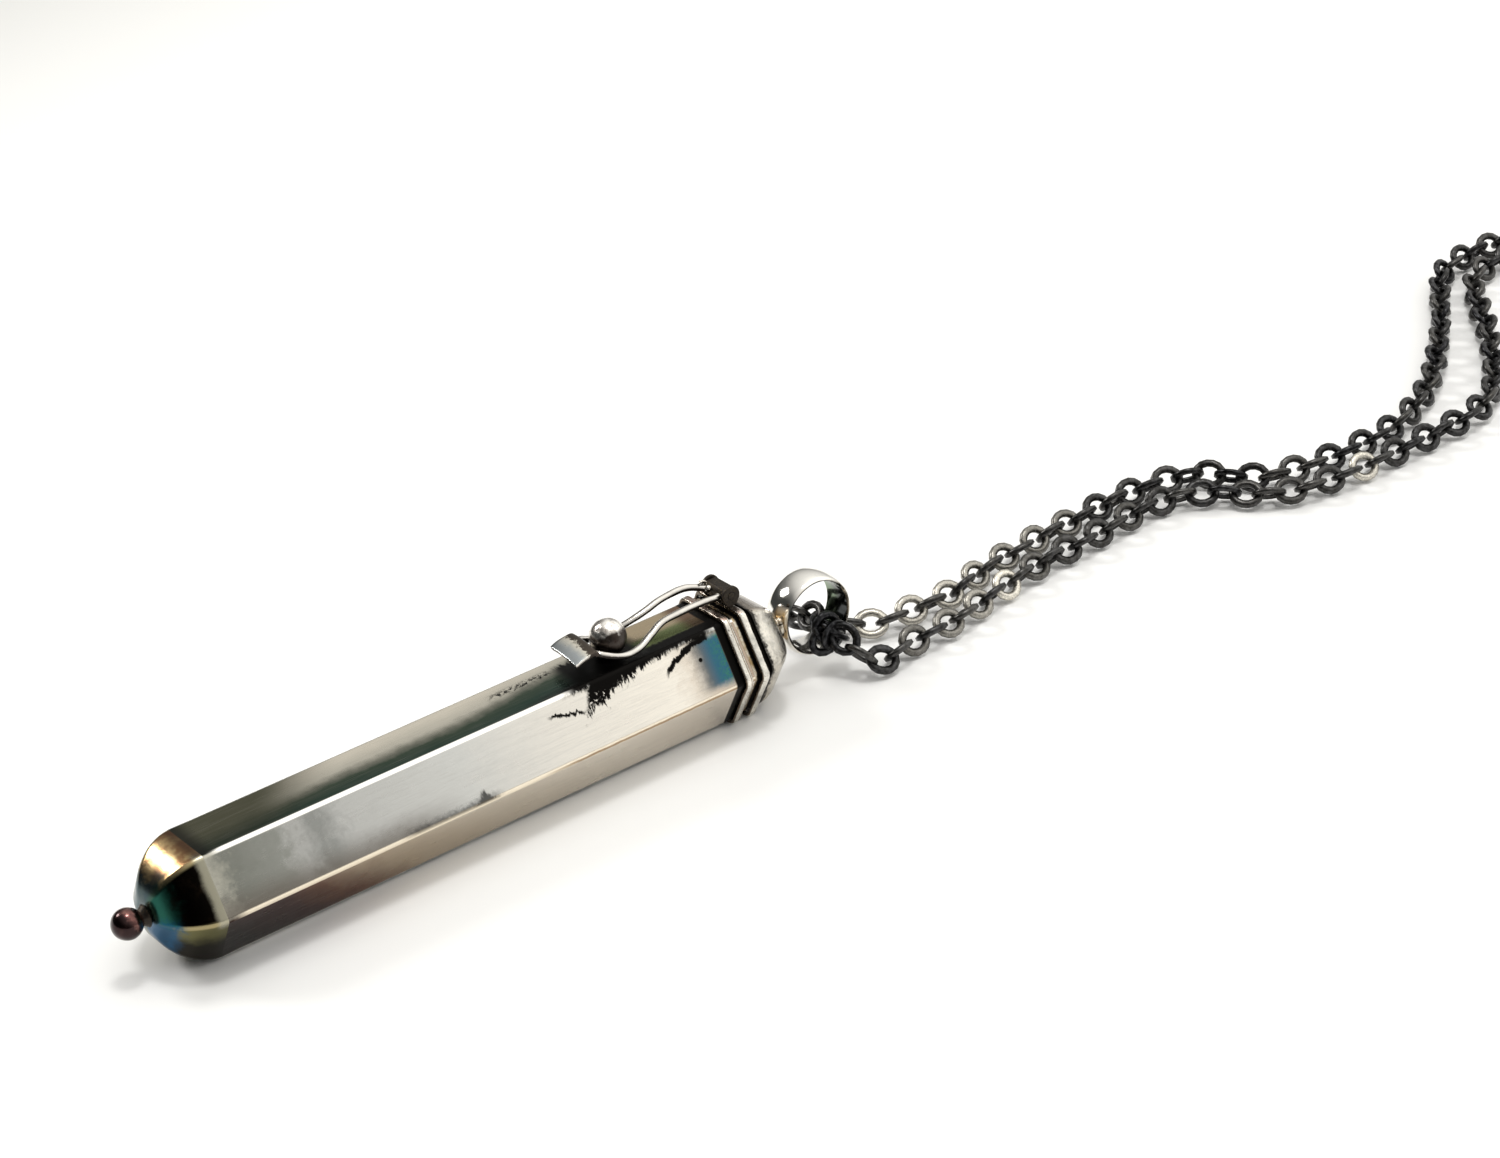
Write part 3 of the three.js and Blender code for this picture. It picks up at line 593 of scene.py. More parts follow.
def paintTie():
    p = Paint("waxedCotton", {"Sheen Weight": 0.3})
    strands = p.add("ShaderNodeTexWave", {"wave_type": "BANDS", "bands_direction": "DIAGONAL"},
                    {"Vector": p.place, "Scale": 3.0, "Distortion": 1.5}, "Fac")
    fine = p.noise(12.0, 4.0, 0.7)
    colour = p.blend(strands, (0.030, 0.024, 0.020), (0.11, 0.09, 0.07))
    return p.lay(colour, 0.6 + fine * 0.2, p.bump(strands + fine * 0.4, 0.04, 0.8))


def paintFloor():
    p = Paint("paleFloor", {"Roughness": 0.55, "Specular IOR Level": 0.3})
    tint = p.noise(0.01, 3.0, 0.5)
    colour = p.blend(tint, (0.91, 0.91, 0.905), (0.93, 0.93, 0.925))
    # painted shade: the floor darkens towards the far left corner, where less light falls
    colour = p.blend((p.y - p.x * 0.35).rise(95.0, 300.0) * 0.9, colour, (0.40, 0.40, 0.375))
    return p.lay(colour, 0.5 + tint * 0.1)


def asPiece(name, bm, material):
    data = bpy.data.meshes.new(name)
    bm.to_mesh(data)
    bm.free()
    data.materials.append(material)
    data.shade_smooth()
    piece = bpy.data.objects.new(name, data)
    scene.collection.objects.link(piece)
    return piece


def finishPiece(name, bm, body, material, stands, sharp=35.0, weighted=True):
    bmesh.ops.remove_doubles(bm, verts=bm.verts, dist=1e-7)
    bmesh.ops.recalc_face_normals(bm, faces=bm.faces)
    for vert in bm.verts:  # nothing dips under the surface it lies on
        vert.co.z = min(max(vert.co.z, cadBox[0][2]), cadBox[1][2])
    piece = asPiece(name, bm, material)
    piece.data.set_sharp_from_angle(angle=math.radians(sharp))
    if weighted:
        flat = piece.modifiers.new("flatFaces", "WEIGHTED_NORMAL")
        flat.keep_sharp = True
    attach(piece, body)
    if stands:
        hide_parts(*stands)
    return piece


def bevelEdges(bm, edges, width, steps):
    bmesh.ops.bevel(bm, geom=edges, offset=width, offset_type="OFFSET", segments=steps, profile=0.5,
                    affect="EDGES", material=-1, clamp_overlap=True)


aboutAxis = Matrix.Translation((0, 0, -axisHeight))  # the space in which the pendant's axis is the X axis


def hexLoft(profile, ridge, ridgeSteps, capEnds=(False, False)):
    # a hexagon drawn out through [station, apothem] rings, its ridges rounded
    bm = bmesh.new()
    station, apothem = profile[0]
    stand = Matrix.Translation((station, 0, axisHeight)) @ Matrix.Rotation(math.radians(90), 4, "Y")
    corner = apothem / math.cos(math.pi / 6)
    made = bmesh.ops.create_circle(bm, cap_ends=False, segments=6, radius=corner, matrix=stand)
    firstRing = list({edge for vert in made["verts"] for edge in vert.link_edges})
    ring = firstRing
    for nextStation, nextApothem in profile[1:]:
        grown = bmesh.ops.extrude_edge_only(bm, edges=ring)["geom"]
        verts = [part for part in grown if isinstance(part, bmesh.types.BMVert)]
        ring = [part for part in grown if isinstance(part, bmesh.types.BMEdge)]
        bmesh.ops.translate(bm, verts=verts, vec=(nextStation - station, 0, 0))
        share = nextApothem / apothem
        bmesh.ops.scale(bm, verts=verts, vec=(1, share, share), space=aboutAxis)
        station, apothem = nextStation, nextApothem
    for wanted, loop in zip(capEnds, (firstRing, ring)):
        if wanted:
            bmesh.ops.contextual_create(bm, geom=loop)
    ridges = [edge for edge in bm.edges if abs(edge.verts[0].co.x - edge.verts[1].co.x) > 1e-6]
    bevelEdges(bm, ridges, ridge, ridgeSteps)
    return bm


def thicken(bm, wall):
    bmesh.ops.recalc_face_normals(bm, faces=bm.faces)
    bmesh.ops.solidify(bm, geom=bm.faces[:], thickness=wall)


def softenRims(bm, width, steps, limit):
    bmesh.ops.recalc_face_normals(bm, faces=bm.faces)
    rims = [edge for edge in bm.edges if edge.is_manifold and edge.calc_face_angle(0) > math.radians(limit)]
    bevelEdges(bm, rims, width, steps)


def cutFlat(bm, spot, facing):
    # takes away what lies beyond a plane and closes the cut
    sliced = bmesh.ops.bisect_plane(bm, geom=bm.verts[:] + bm.edges[:] + bm.faces[:], plane_co=spot,
                                    plane_no=facing, clear_outer=True)
    rim = [part for part in sliced["geom_cut"] if isinstance(part, bmesh.types.BMEdge)]
    bmesh.ops.contextual_create(bm, geom=rim)


def roughen(bm, depth, scale, seed):
    # uneven, hand-worked metal: each point moves a little along its normal
    bm.normal_update()
    shift = Vector((seed * 3.1, seed * 1.7, seed * 0.9))
    for vert in bm.verts:
        vert.co += vert.normal * noise.noise(vert.co * scale / mm + shift) * depth


def spinProfile(points, centre, axis, steps):
    # points are [along the axis, radius] pairs, from one side to the other
    bm = bmesh.new()
    axis = Vector(axis)
    side = Vector((0, 0, 1))
    verts = [bm.verts.new(Vector(centre) + axis * along + side * radius) for along, radius in points]
    edges = [bm.edges.new(pair) for pair in zip(verts, verts[1:])]
    bmesh.ops.spin(bm, geom=verts + edges, cent=centre, axis=axis, dvec=(0, 0, 0), angle=2 * math.pi,
                   steps=steps, use_merge=True, use_duplicate=False)
    bmesh.ops.remove_doubles(bm, verts=bm.verts, dist=1e-7)
    return bm


def smoothLine(points, count):
    # an even walk along a smooth curve through points
    line = [Vector(point) for point in points]
    dense = []
    for index in range(len(line) - 1):
        before = line[max(index - 1, 0)]
        start, end = line[index], line[index + 1]
        after = line[min(index + 2, len(line) - 1)]
        for step in range(16):
            t = step / 16
            curve = (2 * before - 5 * start + 4 * end - after) * t * t
            twist = (3 * start - before - 3 * end + after) * t * t * t
            dense.append(0.5 * ((2 * start) + (end - before) * t + curve + twist))
    dense.append(line[-1])
    return evenly(dense, count)


def evenly(dense, count):
    lengths = [0.0]
    for a, b in zip(dense, dense[1:]):
        lengths.append(lengths[-1] + (b - a).length)
    walk = []
    index = 0
    for step in range(count):
        wanted = lengths[-1] * step / (count - 1)
        while index < len(dense) - 2 and lengths[index + 1] < wanted:
            index += 1
        gap = max(lengths[index + 1] - lengths[index], 1e-12)
        walk.append(dense[index].lerp(dense[index + 1], (wanted - lengths[index]) / gap))
    return walk


def bridgeRings(bm, rings, closed):
    pairs = list(zip(rings, rings[1:])) + ([(rings[-1], rings[0])] if closed else [])
    for first, second in pairs:
        loops = [edge for ring in (first, second) for edge in {e for v in ring for e in v.link_edges}
                 if edge.verts[0] in ring and edge.verts[1] in ring]
        bmesh.ops.bridge_loops(bm, edges=loops)


def sweepWire(line, radius, sides, closed=False, shape=None):
    # a round ring drawn along a line; shape changes its [width, height] from end to end
    bm = bmesh.new()
    count = len(line)
    rings = []
    up = Vector((0, 0, 1))
    for index, point in enumerate(line):
        if closed:
            ahead = line[(index + 1) % count] - line[index - 1]
        else:
            ahead = line[min(index + 1, count - 1)] - line[max(index - 1, 0)]
        ahead.normalize()
        side = ahead.cross(up)
        side = side.normalized() if side.length > 1e-4 else Vector((0, 1, 0))
        over = side.cross(ahead).normalized()
        wide, high = shape(index / (count - 1)) if shape else (1, 1)
        turn = Matrix((side, over, ahead)).transposed().to_4x4()
        place = Matrix.Translation(point) @ turn @ Matrix.Diagonal((wide, high, 1, 1))
        made = bmesh.ops.create_circle(bm, cap_ends=False, segments=sides, radius=radius, matrix=place)
        rings.append(made["verts"])
    bridgeRings(bm, rings, closed)
    if not closed:
        for ring in (rings[0], rings[-1]):
            bm.faces.new(ring)
    return bm


def joinInto(bm, other):
    # adds another bmesh's geometry to bm
    data = bpy.data.meshes.new("part")
    other.to_mesh(data)
    other.free()
    bm.from_mesh(data)
    bpy.data.meshes.remove(data)


def refined(node, material, width, steps, limit):
    # a CAD node's own shape with its edges broken, as filing and tumbling leave them
    body = frame["nodes"][node]["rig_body"]
    bm = bmesh.new()
    bm.from_mesh(frame["nodes"][node].data)
    bmesh.ops.remove_doubles(bm, verts=bm.verts, dist=2e-6)
    bmesh.ops.dissolve_limit(bm, angle_limit=math.radians(2), verts=bm.verts, edges=bm.edges)
    softenRims(bm, width, steps, limit)
    return finishPiece(node + "_worked", bm, body, material, [node])


tubeSetup = {"wall": 0.6 * mm, "ridge": 0.32 * mm, "ridgeSteps": 5, "rim": 0.07 * mm}


def makeTube(material):
    bm = hexLoft([(tubeStart, facetHalf), (mouth, facetHalf)], tubeSetup["ridge"], tubeSetup["ridgeSteps"])
    thicken(bm, tubeSetup["wall"])
    softenRims(bm, tubeSetup["rim"], 2, 60)
    finishPiece("hexagonal_tube", bm, "vessel", material, ["vessel_tube"])


def domeProfile(start, length, base, tip, fullness):
    steps = 16
    profile = []
    for step in range(steps + 1):
        along = math.sin(step / steps * math.pi / 2)
        swell = (1 - min(along, 1.0) ** fullness) ** (1 / fullness)
        profile.append((start + length * along, tip + (base - tip) * swell))
    return profile


endDomeSetup = {"length": 4.6 * mm, "tip": 1.15 * mm, "fullness": 1.75, "ridge": 0.34 * mm, "wall": 0.5 * mm}


def makeEndDome(material):
    setup = endDomeSetup
    profile = domeProfile(tubeStart, -setup["length"], facetHalf, setup["tip"], setup["fullness"])
    bm = hexLoft(profile, setup["ridge"], 4, (False, True))
    thicken(bm, setup["wall"])
    roughen(bm, 0.03 * mm, 0.5, 3)
    finishPiece("faceted_end_dome", bm, "vessel", material, ["end_dome"], 28)


neckSetup = {"thin": 0.62 * mm, "waist": 0.70 * mm, "swell": 0.90 * mm, "foot": 1.05 * mm}


def makeTip(postPaint, beadPaint):
    low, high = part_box("tip_post")
    post = [(low.x, 0), (low.x, neckSetup["thin"]), (low.x + 0.22 * mm, neckSetup["waist"]),
            (high.x - 0.16 * mm, neckSetup["swell"]), (high.x, neckSetup["foot"]), (high.x, 0)]
    bm = spinProfile(post, (0, 0, axisHeight), (1, 0, 0), 40)
    finishPiece("tip_neck", bm, "vessel", postPaint, ["tip_post"])
    low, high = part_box("tip_bead")
    radius = (high.z - low.z) / 2
    bm = bmesh.new()
    place = Matrix.Translation((low.x + radius, 0, axisHeight))
    bmesh.ops.create_icosphere(bm, subdivisions=5, radius=radius * 0.985, matrix=place)
    roughen(bm, 0.05 * mm, 0.55, 8)
    finishPiece("fused_tip_bead", bm, "vessel", beadPaint, ["tip_bead"], 60)


ringSetup = {"width": 0.8 * mm, "depth": 0.42 * mm, "crown": 0.26 * mm, "ridge": 0.5 * mm}


def makeHexRing(name, node, body, material):
    low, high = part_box(node)
    apothem = (high.z - low.z) / 2
    bm = hexLoft([(low.x, apothem), (high.x, apothem)], ringSetup["ridge"], 5)
    thicken(bm, min(ringSetup["depth"], apothem - facetHalf + 0.08 * mm))
    bmesh.ops.recalc_face_normals(bm, faces=bm.faces)
    outer = [edge for edge in bm.edges if edge.is_manifold and edge.calc_face_angle(0) > math.radians(60)
             and math.hypot(edge.verts[0].co.y, edge.verts[0].co.z - axisHeight) > facetHalf + 0.3 * mm]
    bevelEdges(bm, outer, ringSetup["crown"], 5)
    longEdges = [edge for edge in bm.edges if edge.calc_length() > 1.5 * mm]
    bmesh.ops.subdivide_edges(bm, edges=longEdges, cuts=14, use_grid_fill=True)
    roughen(bm, 0.045 * mm, 1.1, 5)
    finishPiece(name, bm, body, material, [node], 50, False)


knobSetup = {"hammer": 0.30 * mm, "facet": 1.15}


def makeKnob(material):
    low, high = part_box("latch_knob")
    radius = (high.y - low.y) / 2
    centre = Vector(((low.x + high.x) / 2, 0, high.z - radius))
    bm = bmesh.new()
    bmesh.ops.create_icosphere(bm, subdivisions=5, radius=radius, matrix=Matrix.Translation(centre))
    for vert in bm.verts:
        near = noise.voronoi(vert.co * knobSetup["facet"] / mm)[0][0]
        vert.co += (centre - vert.co).normalized() * knobSetup["hammer"] * max(0.0, 0.45 - near) ** 2
    roughen(bm, 0.02 * mm, 1.0, 12)
    cutFlat(bm, (centre.x, 0, low.z), (0, 0, -1))
    finishPiece("hammered_knob", bm, "vessel", material, ["latch_knob"], 45)


capDomeSetup = {"base": 4.85 * mm, "tip": 1.0 * mm, "fullness": 1.8, "ridge": 0.6 * mm, "wall": 0.5 * mm}


def makeCapDome(material):
    setup = capDomeSetup
    low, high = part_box("cap_dome")
    profile = domeProfile(low.x, high.x - low.x, setup["base"], setup["tip"], setup["fullness"])
    bm = hexLoft(profile, setup["ridge"], 5, (False, True))
    thicken(bm, setup["wall"])
    roughen(bm, 0.06 * mm, 0.55, 11)
    finishPiece("cap_crown", bm, "cap", material, ["cap_dome"], 40)


bailSetup = {"wall": 0.55 * mm, "crown": 0.22 * mm, "edge": 0.12 * mm, "steps": 96}


def makeBail(material):
    low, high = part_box("bail_ring")
    radius = (high.z - low.z) / 2
    half = (high.y - low.y) / 2
    centre = (low + high) / 2
    wall, crown, edge = bailSetup["wall"], bailSetup["crown"], bailSetup["edge"]
    outside = []
    for step in range(9):
        across = -1 + 2 * step / 8
        outside.append((across * (half - edge), radius - crown * across * across))
    inside = [(half, radius - crown - edge), (half - edge, radius - wall), (-half + edge, radius - wall),
              (-half, radius - crown - edge)]
    loop = outside + inside
    bm = spinProfile(loop + [loop[0]], centre, (0, 1, 0), bailSetup["steps"])
    roughen(bm, 0.035 * mm, 0.35, 2)
    finishPiece("wide_bail", bm, "cap", material, ["bail_ring"], 50)


seatSetup = {  # the neck's radii from the dome to the bail, and the blobs on it: height, across, size
    "radii": [(0, 1.15), (0.3, 0.98), (0.6, 0.8), (1, 0.85)],
    "blobs": [(1.0, -0.5, 0.42), (0.75, 0.55, 0.36), (-0.9, -0.2, 0.34)],
}


def makeBailSeat(material):
    low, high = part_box("bail_seat")
    span = high.x - low.x
    seat = [(low.x + share * span, radius * mm) for share, radius in seatSetup["radii"]]
    bm = spinProfile([(low.x, 0)] + seat + [(high.x, 0)], (0, 0, axisHeight), (1, 0, 0), 40)
    roughen(bm, 0.05 * mm, 1.2, 4)
    for height, across, size in seatSetup["blobs"]:
        place = Matrix.Translation((low.x + 0.5 * span, across * mm, axisHeight + height * mm))
        bmesh.ops.create_icosphere(bm, subdivisions=3, radius=size * mm, matrix=place)
    finishPiece("bail_solder", bm, "cap", material, ["bail_seat"], 60, False)


def makeBarrel(material):
    low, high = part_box("hinge_barrel")
    pinLow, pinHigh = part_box("hinge_pin")
    centre = (pinLow + pinHigh) / 2
    radius = (high.x - low.x) / 2
    bore = (pinHigh.z - pinLow.z) / 2 + 0.05 * mm
    half = (high.y - low.y) / 2
    loop = [(-half, bore), (-half, radius), (half, radius), (half, bore), (-half, bore)]
    bm = spinProfile(loop, centre, (0, 1, 0), 48)
    cutFlat(bm, (0, 0, high.z), (0, 0, 1))
    softenRims(bm, 0.07 * mm, 2, 35)
    finishPiece("hinge_knuckle", bm, "latch", material, ["hinge_barrel"], 40)


# points of the wire: station, distance from the middle and rise over the top facet, in mm
waist = [
    (46.3, 1.66, 1.12), (44.9, 2.04, 0.66), (43.5, 2.16, 0.5), (42.2, 2.16, 0.86), (41.2, 1.98, 1.3),
    (40.6, 1.45, 1.5),
]
latchSetup = {
    "wire": 0.325 * mm, "sides": 20, "steps": 150,
    "near": [(54.55, 0.9, 1.35), (52.3, 1.14, 1.68), (50.0, 1.24, 1.75), (47.9, 1.3, 1.62)] + waist,
    "far": [(54.55, 0.9, 1.5), (52.6, 1.5, 2.08), (50.2, 1.62, 2.0), (48.0, 1.5, 1.58)] + waist,
    "end": (40.45, 0, 1.55),
}


def atStation(station, across, rise):
    return Vector((tubeStart + station * mm, across * mm, topFacet + rise * mm))


def makeLoop(material):
    near = [atStation(station, -side, rise) for station, side, rise in latchSetup["near"]]
    far = [atStation(station, side, rise) for station, side, rise in reversed(latchSetup["far"])]
    line = smoothLine(near + [atStation(*latchSetup["end"])] + far, latchSetup["steps"])

    def worn(share):  # pressed a little flat along the legs
        press = 0.10 * math.sin(share * 2 * math.pi) ** 2
        return 1 + press, 1 - press

    bm = sweepWire(line, latchSetup["wire"], latchSetup["sides"], shape=worn)
    roughen(bm, 0.025 * mm, 0.9, 6)
    finishPiece("wire_loop", bm, "latch", material, ["latch_loop"], 50)


tabSetup = {
    "line": [(38.1, 1.84), (38.7, 2.06), (39.5, 2.22), (40.2, 2.29), (40.58, 2.16), (40.70, 1.86)],
    "half": 2.05 * mm, "thickness": 0.40 * mm, "across": 14,
}


def makeTab(material):
    setup = tabSetup
    line = smoothLine([(tubeStart + s * mm, 0, topFacet + r * mm) for s, r in setup["line"]], 22)
    bm = bmesh.new()
    verts = [bm.verts.new(point + Vector((0, -setup["half"], 0))) for point in line]
    edges = [bm.edges.new(pair) for pair in zip(verts, verts[1:])]
    grown = edges
    for step in range(setup["across"]):
        made = bmesh.ops.extrude_edge_only(bm, edges=grown)["geom"]
        moved = [part for part in made if isinstance(part, bmesh.types.BMVert)]
        grown = [part for part in made if isinstance(part, bmesh.types.BMEdge)]
        bmesh.ops.translate(bm, verts=moved, vec=(0, 2 * setup["half"] / setup["across"], 0))
    for vert in bm.verts:  # dished along the middle, and a little lower to the front
        across = vert.co.y / setup["half"]
        vert.co.z += (0.10 * across - 0.14 * across * across) * mm
        vert.co.x += 0.10 * across * mm
    thicken(bm, setup["thickness"])
    softenRims(bm, 0.07 * mm, 2, 50)
    roughen(bm, 0.03 * mm, 0.6, 9)
    finishPiece("lifted_thumb_tab", bm, "latch", material, ["thumb_tab"], 50)


solderSetup = {  # beads: across, rise and size in mm; the curl is the wire's spare end
    "beads": [(-0.92, 0.05, 0.36), (-0.5, -0.1, 0.26), (0.92, 0.15, 0.38), (0.55, 0.38, 0.27)],
    "curl": 40, "wire": 0.12 * mm,
}


def makeSolder(material):
    bm = bmesh.new()
    low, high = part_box("hinge_barrel")
    for across, rise, size in solderSetup["beads"]:
        centre = Vector((low.x - 0.02 * mm, across * mm, (low.z + high.z) / 2 + rise * mm))
        bmesh.ops.create_icosphere(bm, subdivisions=3, radius=size * mm, matrix=Matrix.Translation(centre))
    roughen(bm, 0.12 * mm, 2.2, 7)
    curl = []
    middle = Vector((low.x - 0.35 * mm, 0.95 * mm, (low.z + high.z) / 2 + 0.62 * mm))
    for step in range(solderSetup["curl"]):
        share = step / (solderSetup["curl"] - 1)
        turn = share * 2.6 * math.pi
        reach = (0.42 - 0.10 * share) * mm
        curl.append(middle + Vector((reach * math.cos(turn), 0.3 * share * mm, reach * math.sin(turn))))
    joinInto(bm, sweepWire(curl, solderSetup["wire"], 10))
    finishPiece("hinge_solder", bm, "latch", material, (), 60, False)


chainSetup = {
    "pitch": 2.16 * mm, "length": 3.55 * mm, "width": 3.1 * mm, "wire": 0.41 * mm, "flat": 0.78,
    "diameter": 2.6 * mm, "around": 14, "sides": 6,
    "lean": 45.0, "loose": 9,  # degrees that a link leans, and that it may stray from that
    "rubbed": 0.08,  # how bright a dark link may be
}
hank = {
    "start": 186.0, "run": 33.0, "middle": 5.5, "height": 2.0, "fold": 5.4, "pitch": 3.0, "gap": 0.3,
    "hook": 1.1 * mm,  # how far the last link reaches into its ring
}
floorLift = 1.4  # the chain's middle above the floor
boreLow = axisHeight / mm - 1.0

# the points of the chain in mm: those without a height lie on the floor
backRoute = [
    (66.0, 0.2, boreLow), (66.05, 2.9, 3.9), (66.9, 4.2, 2.2), (68.9, 3.4), (70.7, 1.6), (72.6, 0.0),
    (76.8, -0.5), (81.0, -0.7), (86.0, 0.5), (92.4, 1.4), (98.5, 1.8), (104.5, 2.1), (109.5, 1.7),
    (113.6, 0.2), (115.8, -2.6), (118.2, -5.2), (123.7, -6.6), (130.5, -7.0), (136.0, -6.2),
    (141.5, -3.9), (146.3, -0.9), (150.7, 2.5), (155.6, 6.6), (160.3, 11.0), (164.6, 14.8),
    (169.5, 16.5), (175.6, 16.4), (181.0, 15.0, 1.8),
]
frontRoute = [
    (66.0, -0.2, boreLow), (66.0, -3.0, 3.9), (66.8, -4.7, 2.3), (68.6, -5.7), (72.3, -5.1),
    (76.7, -4.9), (81.0, -4.2), (85.5, -3.3), (91.0, -2.3), (96.0, -2.1), (101.0, -1.7), (105.5, -1.3),
    (109.3, -1.9), (112.4, -4.0), (114.6, -6.9), (117.9, -9.1), (124.0, -10.4), (131.0, -10.6),
    (137.0, -10.6), (142.3, -10.2), (146.8, -8.3), (150.6, -5.3), (154.6, -1.4), (158.6, 3.0),
    (162.2, 7.4), (165.9, 11.2), (170.5, 13.1), (176.0, 12.9), (181.0, 11.8, 1.8),
]


def chainLine(route, lane):
    # the free stretch, then the hank: out, round the bend, and back
    points = [Vector((station, across, *(rise or [floorLift]))) for station, across, *rise in route]
    points.append(Vector((hank["start"] - hank["gap"], hank["middle"] + lane, hank["height"])))
    free = smoothLine(points, 700)
    bend, middle, height = hank["start"] + hank["run"], hank["middle"], hank["height"]
    run = int(hank["run"])
    out = [Vector((hank["start"] + step, middle + lane, height)) for step in range(run)]
    fold = [Vector((bend + lane * math.cos(a), middle + lane * math.sin(a), height))
            for a in [math.pi / 2 - math.pi * step / 30 for step in range(31)]]
    back = [Vector((bend - step, middle - lane, height)) for step in range(1, run + 1)]
    whole = [Vector((tubeStart + p.x * mm, p.y * mm, p.z * mm)) for p in free + out + fold + back]
    whole.append(whole[-1] - Vector((hank["hook"], 0, 0)))  # into the ring at its end
    return evenly(whole, 1600)


def linkShape():
    setup = chainSetup
    line = []
    reachX = setup["length"] / 2 - setup["wire"]
    reachY = setup["width"] / 2 - setup["wire"]
    for step in range(setup["around"]):
        turn = 2 * math.pi * step / setup["around"]
        line.append(Vector((reachX * math.cos(turn), reachY * math.sin(turn), 0)))
    return sweepWire(line, setup["wire"], setup["sides"], closed=True, shape=lambda share: (1, setup["flat"]))


def addLink(bm, template, place):
    before = len(bm.verts)
    bm.from_mesh(template)
    bm.verts.ensure_lookup_table()
    fresh = bm.verts[before:]
    bmesh.ops.transform(bm, matrix=place, verts=fresh)
    return fresh


def makeStrand(name, line, nodes, material, highlightLinks, seed, bunch=()):
    setup = chainSetup
    draw = random.Random(seed)
    total = sum((b - a).length for a, b in zip(line, line[1:]))
    count = int(total / setup["pitch"])
    centres = evenly(line, 2 * count + 1)
    template = bpy.data.meshes.new("link")
    one = linkShape()
    bmesh.ops.recalc_face_normals(one, faces=one.faces)
    one.to_mesh(template)
    one.free()
    bm = bmesh.new()
    shine = bm.verts.layers.float.new("shine")
    for index in range(count):
        spot = centres[2 * index + 1]
        ahead = (centres[2 * index + 2] - centres[2 * index]).normalized()
        side = ahead.cross(Vector((0, 0, 1))).normalized()
        over = side.cross(ahead).normalized()
        lean = setup["lean"] if index % 2 else -setup["lean"]
        lean += draw.uniform(-setup["loose"], setup["loose"])
        turn = Matrix((ahead, -side, over)).transposed().to_4x4()
        turn = turn @ Matrix.Rotation(math.radians(lean), 4, "X")
        turn = turn @ Matrix.Rotation(draw.uniform(-0.05, 0.05), 4, "Z")
        bright = draw.uniform(0.0, setup["rubbed"])
        here = (spot.x - tubeStart) / mm
        # painted highlights on the links that lie face-on near the floor
        for station, highlightThere in highlightLinks.items():
            if index % 2 and abs(here - station) < setup["pitch"] / mm and spot.z < 2 * mm:
                bright = highlightThere
        for vert in addLink(bm, template, Matrix.Translation(spot) @ turn):
            vert[shine] = bright
    for station, across, rise, *turns in bunch:
        place = Matrix.Translation((tubeStart + station * mm, across * mm, rise * mm))
        place = place @ Euler([math.radians(turn) for turn in turns]).to_matrix().to_4x4()
        addLink(bm, template, place)
    bpy.data.meshes.remove(template)
    piece = asPiece(name, bm, material)
    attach(piece, "cap")
    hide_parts(*nodes)
    print("chain strand", name, "has", count, "links,", round(total / mm, 1), "mm")


tieSetup = {"cord": 0.17 * mm, "turns": 4, "spacing": 0.37, "bend": 0.9 * mm}


def makeTie(material):
    low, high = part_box("hank_tie")
    radius, bendSize = tieSetup["cord"], tieSetup["bend"]
    bm = bmesh.new()
    for turn in range(tieSetup["turns"]):
        station = low.x + (0.25 + tieSetup["spacing"] * turn) * mm
        corners = []
        inset = radius + 0.02 * mm
        left, right = low.y + inset, high.y - inset
        bottom, top = low.z + inset, high.z - inset
        for y, z, start in ((right - bendSize, top - bendSize, 0), (left + bendSize, top - bendSize, 90),
                            (left + bendSize, bottom + bendSize, 180),
                            (right - bendSize, bottom + bendSize, 270)):
            for step in range(7):
                a = math.radians(start + 15 * step)
                corners.append(Vector((station, y + bendSize * math.cos(a), z + bendSize * math.sin(a))))
        line = []
        for a, b in zip(corners, corners[1:] + corners[:1]):
            pieces = max(1, int((b - a).length / (1.2 * mm)))
            line += [a.lerp(b, k / pieces) for k in range(pieces)]
        joinInto(bm, sweepTurned(line, radius, 8))
    return finishPiece("waxed_tie", bm, "cap", material, ["hank_tie"], 60, False)


def sweepTurned(line, radius, sides):
    # a closed loop of cord that stands across the X axis
    bm = bmesh.new()
    rings = []
    for index, point in enumerate(line):
        ahead = (line[(index + 1) % len(line)] - line[index - 1]).normalized()
        side = Vector((1, 0, 0))
        over = ahead.cross(side).normalized()
        turn = Matrix((side, over, side.cross(over))).transposed().to_4x4()
        made = bmesh.ops.create_circle(bm, cap_ends=False, segments=sides, radius=radius,
                                       matrix=Matrix.Translation(point) @ turn)
        rings.append(made["verts"])
    bridgeRings(bm, rings, True)
    return bm


floorSetup = {"half": 2.5, "level": -0.02 * mm}


def makeFloor(material):
    bm = bmesh.new()
    bmesh.ops.create_grid(bm, x_segments=1, y_segments=1, size=floorSetup["half"])
    bmesh.ops.translate(bm, verts=bm.verts, vec=(0, 0, floorSetup["level"]))
    floor = asPiece("floor", bm, material)


setCamera()
setLights()
print("camera and lights set")

chainPaint = paintChain()
claspPaint = paintBlack("gunmetalClasp", 0.1, 0.3)
tiePiece = makeTie(paintTie())
closure = {  # rounding in mm, its steps and the least angle that is rounded
    "clasp_body": (0.16, 3, 40), "clasp_trigger": (0.10, 2, 40), "clasp_rivet": (0.06, 2, 50),
    "clasp_ring": (0.01, 1, 80), "end_ring": (0.01, 1, 80),
}
*claspPieces, endRing = [refined(node, claspPaint, width * mm, steps, limit)
                         for node, (width, steps, limit) in closure.items()]
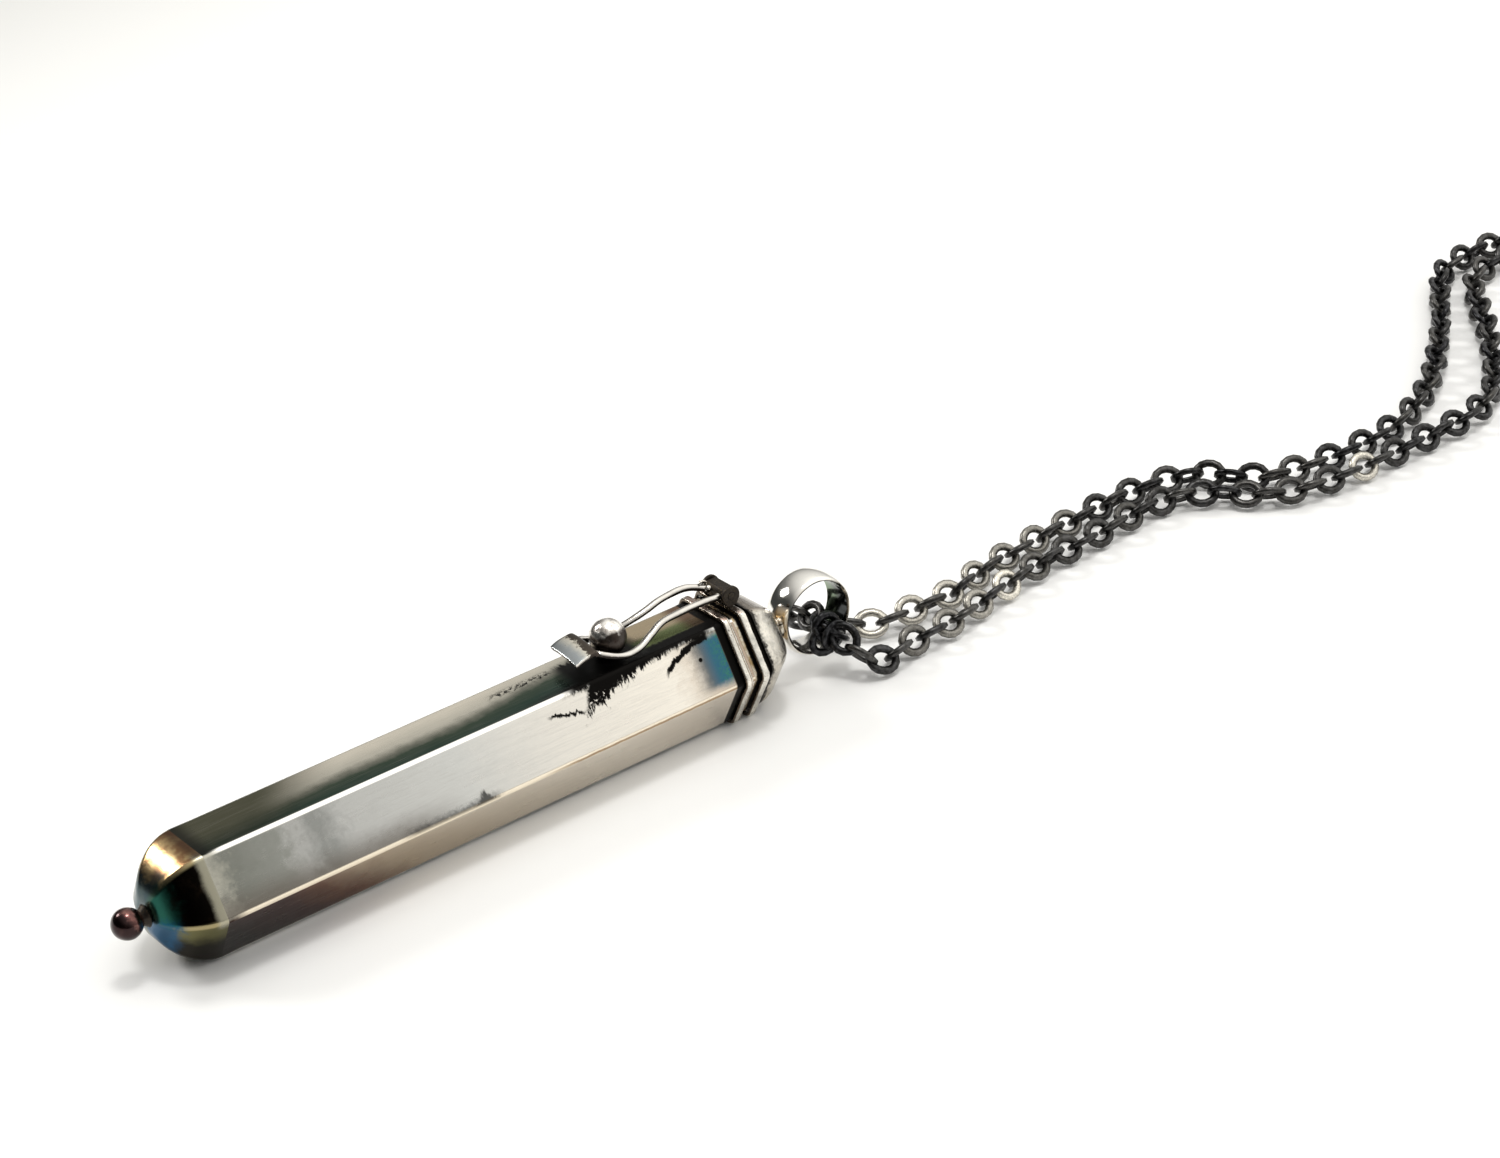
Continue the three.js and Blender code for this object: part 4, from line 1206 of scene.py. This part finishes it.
# links that have slid together in the bail: station, side and rise in mm, and turns in degrees
bunchedLinks = [
    (65.3, -0.9, 4.1, 60, 10, 40), (65.9, -2.1, 3.7, 95, 20, 15), (65.0, -1.9, 3.5, 80, -35, -10),
    (66.4, -1.4, 3.3, 35, 15, 80), (65.5, -1.5, 4.5, 100, 50, 5),
]
# each strand's table gives stations and painted highlight brightness for links lying face-on
makeStrand("cable_chain_back", chainLine(backRoute, hank["fold"] + hank["pitch"]),
           ["chain_strand_back", "chain_hank"], chainPaint,
           {72.3: 0.7, 76.9: 0.62, 81.0: 0.6, 85.2: 0.5, 89.5: 0.32, 93.8: 0.30, 98.0: 0.2}, 21)
makeStrand("cable_chain_front", chainLine(frontRoute, hank["fold"]), ["chain_strand_front"],
           chainPaint,
           {72.0: 0.18, 76.2: 0.30, 80.4: 0.45, 84.9: 1.0, 89.0: 0.12, 124.0: 0.85}, 22, bunchedLinks)
print("chain made")

silverRings = paintRings()
silverDome = paintCapDome()
silverWire = paintWire()
silverKnob = paintKnob()
solderSilver = paintSilver("solderSilver", 0.06, 0.5, 0.12, 0.1)
blackened = paintBlack("blackened")
knucklePaint = paintBlack("brownBlack", 0.35)
heatSilver = paintSilver("goldenSolder", 0.04, 1.0, 0.15, 0.0)

makeTube(paintTube())
makeEndDome(paintEndDome())
makeTip(paintBlack("tintedNeck", 0.2, 0.25), paintBead())
makeHexRing("mouth_band", "mouth_ring", "vessel", silverRings)
makeKnob(silverKnob)
refined("knob_post", blackened, 0.05 * mm, 2, 40)
print("vessel made")

makeHexRing("cap_band", "cap_ring", "cap", silverRings)
makeCapDome(silverDome)
makeBailSeat(heatSilver)
makeBail(paintBail())
refined("cap_liner", silverRings, 0.06 * mm, 2, 50)
refined("cap_collar", paintCollar(), 0.05 * mm, 2, 50)
for node in ("hinge_ear_front", "hinge_ear_back", "hinge_pin"):
    refined(node, blackened, 0.07 * mm, 3, 40)
print("cap made")

makeBarrel(knucklePaint)
makeLoop(silverWire)
makeTab(paintTab())
makeSolder(solderSilver)
print("latch made")

makeFloor(paintFloor())
setRoom()
scene.view_settings.view_transform = "Standard"
